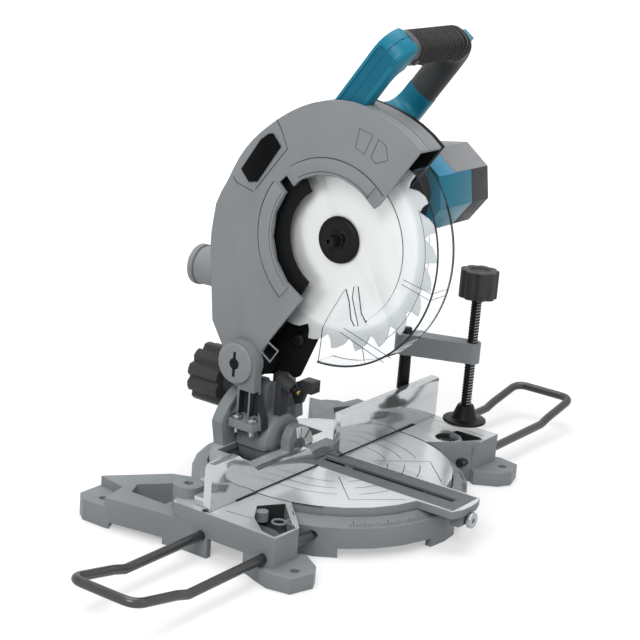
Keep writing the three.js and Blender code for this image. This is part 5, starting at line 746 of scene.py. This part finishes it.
# The left limb of the handle: a sunk panel with a round end, and the seam of its two shells
def handle_marks():
    limb = SKINS["handle_body"]
    half, low, high, depth, overrun = 10, -28, 55, 1.2, 1
    turns = [math.pi * i / 16 for i in range(17)]
    arch = [(high + half * math.sin(turn), half * math.cos(turn)) for turn in turns]
    outline = [(low, half)] + arch + [(low, -half)]
    tool = bmesh.new()
    outside = [in_handle(-HANDLE_LEFT - overrun, v, n) for v, n in outline]
    prism(tool, outside, ACROSS * (depth + overrun) * MM)
    carve(limb, tool)
    floor = -HANDLE_LEFT + depth
    # The sunk panel's floor takes the darker blue as painted shade in the recess
    limb.data.materials.append(BLUE_PANEL_SHADE.mat)
    for polygon in limb.data.polygons:
        if abs(polygon.center.x - in_handle(floor, 0, 0).x) < 0.0002 and polygon.normal.x < -0.9:
            polygon.material_index = len(limb.data.materials) - 1
    seam = [(in_handle(floor, v, -1), LEFT) for v in range(-8, 64, 6)]
    corner = []
    for i in range(13):
        t = math.radians(165 - 75 * i / 12)
        u = -HANDLE_LEFT + HANDLE_CORNER + HANDLE_CORNER * math.cos(t)
        v = HANDLE_LENGTH - HANDLE_CORNER + HANDLE_CORNER * math.sin(t)
        corner.append((in_handle(u, v, -1), ACROSS * math.cos(t) + ALONG * math.sin(t)))
    lines = [([p for p, _ in part], [n for _, n in part], 0.8, 0.06, False) for part in (seam, corner)]
    strokes("handle_seams", BODY["handle_body"], SLOT["handle_body"], BLUE_SEAM, lines)


handle_marks()


# Clear lower guard: rim, left wall with two vanes, right wall with its ring, and thin dark lines; the lines
# and the walls' edge faces are painted shade for the dark look of clear plastic's edges. A vane's corners
# are a distance from the blade's centre and degrees about it
def lower_guard():
    outer, wall, inner, skin_thick, end, steps = LOWER_OUTER, 1.8, 79, LOWER_SKIN, 272, 72
    left, right, start = -LOWER_LEFT, LOWER_RIGHT, LOWER_START
    hub, bore = 36, 25
    bm = bmesh.new()

    def band(x, thick, big, small, first, last, cap, side):
        outline = side_arc(x, big, first, last, steps) + side_arc(x, small, last, first, steps)
        prism(bm, outline, ACROSS * thick * MM, cap, side)

    def line(places, radius):
        tube(bm, places, radius, 6, material=1)

    band(left, right - left, outer, outer - wall, start, end, 1, 0)
    first_vane = [(95, 271), (83, 271), (70, 266.5), (47.5, 247.5)]
    first_vane += [(45, 242), (56.4, 243), (72.9, 246.3), (79.8, 245)]
    second_vane = [(80.8, 242), (54.7, 238), (46.3, 230.3), (48.6, 225.3), (70.9, 235.6), (80.8, 235.2)]
    edge = [side_point(left, radius, degree) for radius, degree in first_vane + second_vane]
    inside = outer - wall - 0.1
    rim = side_arc(left, inside, start, end - 0.5, steps)
    prism(bm, rim + edge + side_arc(left, inner, 234, start, steps), ACROSS * wall * MM, 0, 1)
    band(right - skin_thick, skin_thick, inside, hub, start + 18, end - 18, 0, 1)
    band(right - skin_thick, skin_thick, hub - 0.1, bore, start - 60, start + 299, 0, 1)
    for y1, z1, y2, z2 in ((-9.2, 175.6, -59.5, 158.8), (-12.7, 180.5, -66.8, 164.6)):
        line([at(left - 0.2, y1, z1), at(left - 0.2, y2, z2)], 0.35)
    for degree in (-168.1, -164.9):
        line([side_point(left - 0.2, radius, degree) for radius in (84, 114.5)], 0.3)
        line([side_point(x, 115, degree) for x in (left, right - 1)], 0.3)
    for x, radius, first, last in ((left - 0.1, 103, 152, 228), (right - 1.6, 92, 160, 236)):
        line(side_arc(x, radius, first, last, 40), 0.25)
    clear = MATERIALS["clear"]
    obj = piece("lower_guard_clear", bm, BODY["lower_guard"], SLOT["lower_guard"], clear, CLEAR_EDGE_SHADE)
    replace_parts(obj, "lower_guard")


lower_guard()


# Lines on the upper guard: outlines and a tab on its left face, arcs about the blade, strips on its crown
def guard_marks():
    body, slot = BODY["upper_guard"], SLOT["upper_guard"]
    face = -GUARD_LEFT - 0.02
    outlines = [
        (((76.7, 360.3), (71.1, 353.2), (62.1, 335.6), (95.5, 291.2)), 0.9, 0.25, False),
        (((122.4, 298.6), (118.3, 293.6), (97.9, 288.6)), 0.7, 0.3, False),
        (((-15.4, 367.3), (-29.9, 363.7), (-22.5, 345.3), (-12.5, 349.2)), 0.8, 0.1, True),
        (((-36.5, 361.4), (-44.6, 356.6), (-48, 344.1), (-35.4, 339.3), (-29.7, 343.6)), 0.8, 0.1, True),
    ]
    arcs = [
        (face, GUARD_BAND + 1.4, -52, 35, 1.0, 0.25), (face, GUARD_BAND + 0.4, 53, 136, 0.9, 0.25),
        (face - BAND_PROUD, 65.6, 56, 129, 0.8, 0.1), (face - BAND_PROUD, 65.2, -50, 34, 0.6, 0.1),
    ]
    lines = [([at(face, y, z) for y, z in corners], LEFT, *rest) for corners, *rest in outlines]
    for x, radius, first, last, width, height in arcs:
        lines.append((side_arc(x, radius, first, last, 30), LEFT, width, height, False))
    strokes("guard_lines", body, slot, SEAM, lines)
    shell = SKINS["upper_guard"]
    # Two strips along the crown: a dark line, and a pale one that is a painted highlight
    ridges = (("guard_ridge_dark", -9, SEAM, 0.8), ("guard_ridge_highlight", -10.2, RIDGE_HIGHLIGHT, 0.9))
    for name, x, shader, width in ridges:
        places, normals = [], []
        for degree in range(76, 134, 2):
            turn = math.radians(degree)
            out = Vector((0, math.cos(turn), math.sin(turn)))
            hit, place, normal, _ = shell.ray_cast(at(x, BLADE_Y, BLADE_Z) + out * 0.3, -out)
            if hit:
                places.append(place)
                normals.append(normal)
        strokes(name, body, slot, shader, [(places, normals, width, 0.25, False)])
    tab = [at(face, y, z) for y, z in ((68.3, 148.4), (55.6, 142.3), (64.0, 129.4), (76.1, 137.6))]
    strokes("guard_tab", body, slot, MATERIALS["guard"], [(tab, LEFT, 1.6, 1.2, True)])


guard_marks()


# Keyhole mark on the pivot pin's cap
def cap_key():
    x, proud, radius, half = -CHEEK_OUTER - 3.9, 0.4, 5.6, 1.6
    bm = bmesh.new()
    prism(bm, side_arc(x, radius, 0, 345, 23, PIVOT_Y, PIVOT_Z), ACROSS * proud * MM)
    for low, high in ((-13, -4.5), (4.5, 12)):
        corners = ((-half, low), (half, low), (half, high), (-half, high))
        prism(bm, [at(x, PIVOT_Y + y, PIVOT_Z + z) for y, z in corners], ACROSS * proud * MM)
    piece("pivot_key", bm, BODY["pivot_pin"], SLOT["pivot_pin"], SLIT)


cap_key()


# Dark lines in place of the grooves in the turntable and the wings, and painted shadow under the fence
def table_marks():
    top = TABLE_TOP + 0.02
    foot = TABLE_TOP + 0.95
    lines = []
    for radius in (54, 70, 85):
        for start, end in ((180, 219), (233, 248 if radius < 60 else 254)):
            lines.append((top_arc(radius, start, end, top), UP, 1.1, 0.02, False))
            lines.append((top_arc(radius, 540 - start, 540 - end, top), UP, 1.1, 0.02, False))
    for side in (-1, 1):
        diagonal = [at(side * x, y, top) for x, y in ((30, -30), (68.5, -68.5), (31, -105))]
        lines.append((diagonal, UP, 1.2, 0.02, False))
    strokes("table_grooves", "table", SLOT["turntable"], GROOVE, lines)
    ends = (((-169.5, -7.8), (-166.6, -34)), ((174.2, -7.7), (171.1, -68.3)))
    wing = [([at(*a, top), at(*b, top)], UP, 1.0, 0.03, False) for a, b in ends]
    for start, end in ((162, 179), (181, 212), (-31, -1), (1, 20)):
        wing.append((top_arc(TABLE_RADIUS + 0.7, start, end, top), UP, 1.5, 0.03, False))
    # Painted shadow on the wings along the fence's foot
    for a, b in ((-146, -118.5), (118.5, 146)):
        wing.append(([at(a, -0.7, top), at(b, -0.7, top)], UP, 1.7, 0.5, False))
    strokes("wing_grooves_and_fence_shadow", "base", SLOT["base_casting"], SLIT, wing)
    # Painted shadow along the fence's foot
    near = [([at(a, 0, foot), at(b, 0, foot)], FRONT, 1.2, 0.4, False) for a, b in ((-118, -22), (13, 118))]
    strokes("fence_shadow_gap", "base", SLOT["fence"], SLIT, near)


table_marks()


# The open pockets at the wings' front corners; the left one holds a tube boss and a knurled screw
def wing_pocket():
    base, slot = SKINS["base_casting"], SLOT["base_casting"]
    left = [(-141, -19.5), (-117.5, -35), (-156.9, -73.8), (-184.2, -71.1), (-181.5, -56.2), (-163.9, -34.3)]
    right = [(156.8, -38.9), (164.1, -41.6), (163.7, -67.3), (160.3, -72.2), (142, -61), (153, -50.5)]
    left_floor, right_floor, left_cut, right_cut = 25.5, 28.4, 20, 18
    left_middle, right_middle, middle_y = -153, 152, -48
    around = ((-186, -115, -75, -18), (126, 165, -73, -31))
    tool = bmesh.new()
    prism(tool, [at(x, y, left_floor) for x, y in left], UP * left_cut * MM)
    prism(tool, [at(x, y, right_floor) for x, y in right], UP * right_cut * MM)
    carve(base, tool)
    # Walls and floors inside the wing pockets take painted shade
    base.data.materials.append(RECESS_SHADE.mat)
    dark = len(base.data.materials) - 1
    for polygon in base.data.polygons:
        x, y, z = (polygon.center - SHIFT) / MM
        to_middle = Vector(((left_middle if x < 0 else right_middle) - x, middle_y - y))
        inward = to_middle.dot(polygon.normal.xy) > 0 or polygon.normal.z > 0.9
        near = any(x1 < x < x2 and y1 < y < y2 for x1, x2, y1, y2 in around)
        if 20 < z < TABLE_TOP - 0.5 and near and inward:
            polygon.material_index = dark
    bottom, tall, boss, screw = 30, 9, (-133, -39), (-141, -25)
    bm = bmesh.new()
    tube(bm, top_ring(*boss, bottom, 6, 24), 1.1, 8, closed=True)
    tips, valleys = top_ring(*screw, bottom, 6.4, 36), top_ring(*screw, bottom, 5.6, 36)
    prism(bm, [(valleys if i % 2 else tips)[i] for i in range(36)], UP * tall * MM)
    piece("wing_pocket_fittings", bm, "base", slot, CASTING)
    strip = ((-115.9, -36.5), (-150, -70.1), (-152.4, -67.3), (-118.6, -33.9))
    wall_bottom, wall_top = left_floor - 0.1, TABLE_TOP + 0.01
    wall = bmesh.new()
    prism(wall, [at(x, y, wall_bottom) for x, y in strip], UP * (wall_top - wall_bottom) * MM)
    piece("wing_pocket_wall", wall, "base", slot, WING_TOP)


wing_pocket()


# A screw with a socket, let into the right wing
def wing_socket():
    top, bottom = TABLE_TOP - 3.4, 28.2
    head = bmesh.new()
    prism(head, top_ring(POCKET_X, -POCKET_Y, bottom, 9.4, 30), UP * (top - bottom) * MM)
    piece("wing_socket_screw", head, "base", SLOT["base_casting"], MATERIALS["steel"])
    rings = [
        (top_ring(POCKET_X, -POCKET_Y, top, radius, sides), UP, width, 0.1, True)
        for radius, width, sides in ((8.2, 1.6, 36), (4.4, 1.2, 6))
    ]
    strokes("wing_socket_rings", "base", SLOT["base_casting"], SLIT, rings)


wing_socket()


# The arm beside the head's black plate that works the lower guard
def guard_link():
    a, b, radius, x, thick = (40.5, 158), (57.5, 117), 8.5, 9.9, 1.7
    lean = math.degrees(math.atan2(b[1] - a[1], b[0] - a[0]))
    outline = side_arc(x, radius, lean + 90, lean + 270, 12, *a)
    outline += side_arc(x, radius, lean - 90, lean + 90, 12, *b)
    bm = bmesh.new()
    prism(bm, outline, ACROSS * thick * MM)
    piece("guard_link", bm, "head", SLOT["head_plate"], MATERIALS["plate_black"])


guard_link()


# Ticks of the mitre scale on the sloped rim of the base
def ring_scale():
    far, drop, run = 130, RIM_TOP - SKIRT_TOP, SKIRT_RADIUS - RIM_RADIUS
    slope = math.atan2(drop, run)
    lines = []
    for degree in range(-47, 48):
        turn = math.radians(270 + degree)
        out = Vector((math.cos(turn), math.sin(turn), 0))
        normal = (out * math.sin(slope) + UP * math.cos(slope)).normalized()
        length = 7 if degree % 15 == 0 else 5.2 if degree % 5 == 0 else 3.4
        places = [(r, RIM_TOP - (r - RIM_RADIUS) * drop / run) for r in (far - length, far)]
        points = [at(0, 0, 0) + (out * r + UP * z) * MM for r, z in places]
        lines.append((points, normal, 0.45, 0.03, False))
    strokes("mitre_scale_ticks", "base", SLOT["base_casting"], SEAM, lines)


ring_scale()


# Lines of the bevel scale, on its front face
def bevel_marks():
    y = LUG_FRONT - 1.5 - 0.02
    lines = []
    for degree, width in ((47, 2.4), (84, 1.2)):
        turn = math.radians(degree)
        points = [at(r * math.cos(turn), y, TABLE_TOP + r * math.sin(turn)) for r in (12.5, 22.6)]
        lines.append((points, FRONT, width, 0.05, False))
    strokes("bevel_scale_lines", BODY["bevel_scale"], SLOT["bevel_scale"], SCALE_INK, lines)


bevel_marks()


# Seams along the motor's edges
def motor_seams():
    facet = 45
    reach = MOTOR_FLAT / math.cos(math.radians(facet / 2)) - 0.6
    lines = []
    for k in (3, 4):
        degree = facet / 2 + facet * k - MOTOR_TURN
        turn = math.radians(degree)
        points = [side_point(x, reach, degree, MOTOR_Y, MOTOR_Z) for x in (50, MOTOR_END - 9)]
        lines.append((points, Vector((0, math.cos(turn), math.sin(turn))), 1.5, 0.1, False))
    strokes("motor_seams", BODY["motor_housing"], SLOT["motor_housing"], SLIT, lines)


motor_seams()


# Studio, in metres: floor and world look white to the camera and in clear or shiny pieces, and light softly
FLOOR_HALF, FLOOR_Z = 6, -0.0004
FLOOR_LIFT, FAR_LIFT, LIFT_START, LIFT_END = 0.42, 0.85, 0.4, 2.0
WORLD_LIGHT, WORLD_SEEN = 0.42, 1.0
LAMP_AIM = (0, 0, 0.2)
LAMPS = {
    "key": ((-2.2, -0.6, 2.0), (1.4, 1.4), 40),
    "fill": ((0.6, -2.6, 1.2), (1.6, 1.2), 8),
    "top": ((0.2, 0.3, 2.4), (1.6, 1.6), 30),
}


def seen_rays(tree):
    """1 for rays from the camera, through clear pieces and off shiny ones, 0 for the others."""
    path = tree.nodes.new("ShaderNodeLightPath")
    seen = path.outputs["Is Camera Ray"]
    for kind in ("Is Transmission Ray", "Is Glossy Ray"):
        either = tree.nodes.new("ShaderNodeMath")
        either.operation = "MAXIMUM"
        tree.links.new(seen, either.inputs[0])
        tree.links.new(path.outputs[kind], either.inputs[1])
        seen = either.outputs[0]
    return seen


def add_floor():
    mesh = bpy.data.meshes.new("floor")
    corners = [(x * FLOOR_HALF, y * FLOOR_HALF, FLOOR_Z) for x, y in ((-1, -1), (1, -1), (1, 1), (-1, 1))]
    mesh.from_pydata(corners, [], [(0, 1, 2, 3)])
    floor = link(bpy.data.objects.new("floor", mesh))
    s = Shader("floor_white", Roughness=0.7, Emission_Color=(1, 1, 1, 1))
    s.colour(s.ramp(s.noise(3, 2), [(0.3, (0.57, 0.57, 0.57)), (0.7, (0.6, 0.6, 0.6))]))
    away = s.node("ShaderNodeVectorMath", operation="LENGTH")
    s.link(s.coord.outputs["Object"], away.inputs[0])
    lift = s.node("ShaderNodeMapRange")
    limits = {"From Min": LIFT_START, "From Max": LIFT_END, "To Min": FLOOR_LIFT, "To Max": FAR_LIFT}
    for key, value in limits.items():
        lift.inputs[key].default_value = value
    s.link(away.outputs["Value"], lift.inputs["Value"])
    s.link(s.math("MULTIPLY", seen_rays(s.tree), lift.outputs["Result"]), s.bsdf.inputs["Emission Strength"])
    paint(floor, s)


def add_world():
    world = bpy.data.worlds.new("studio")
    bpy.context.scene.world = world
    world.use_nodes = True
    tree = world.node_tree
    back = next(n for n in tree.nodes if n.type == "BACKGROUND")
    back.inputs["Color"].default_value = (1, 1, 1, 1)
    strength = tree.nodes.new("ShaderNodeMapRange")
    strength.inputs["To Min"].default_value = WORLD_LIGHT
    strength.inputs["To Max"].default_value = WORLD_SEEN
    tree.links.new(seen_rays(tree), strength.inputs["Value"])
    tree.links.new(strength.outputs["Result"], back.inputs["Strength"])


def add_lamp(name, place, size, power):
    data = bpy.data.lights.new(name, "AREA")
    data.shape = "RECTANGLE"
    data.size, data.size_y = size
    data.energy = power
    lamp = link(bpy.data.objects.new(name, data))
    lamp.location = place
    aim = Vector(LAMP_AIM) - Vector(place)
    lamp.rotation_euler = aim.to_track_quat("-Z", "Y").to_euler()


add_floor()
add_world()
for name, settings in LAMPS.items():
    add_lamp(name, *settings)
bpy.context.scene.view_settings.view_transform = "Standard"
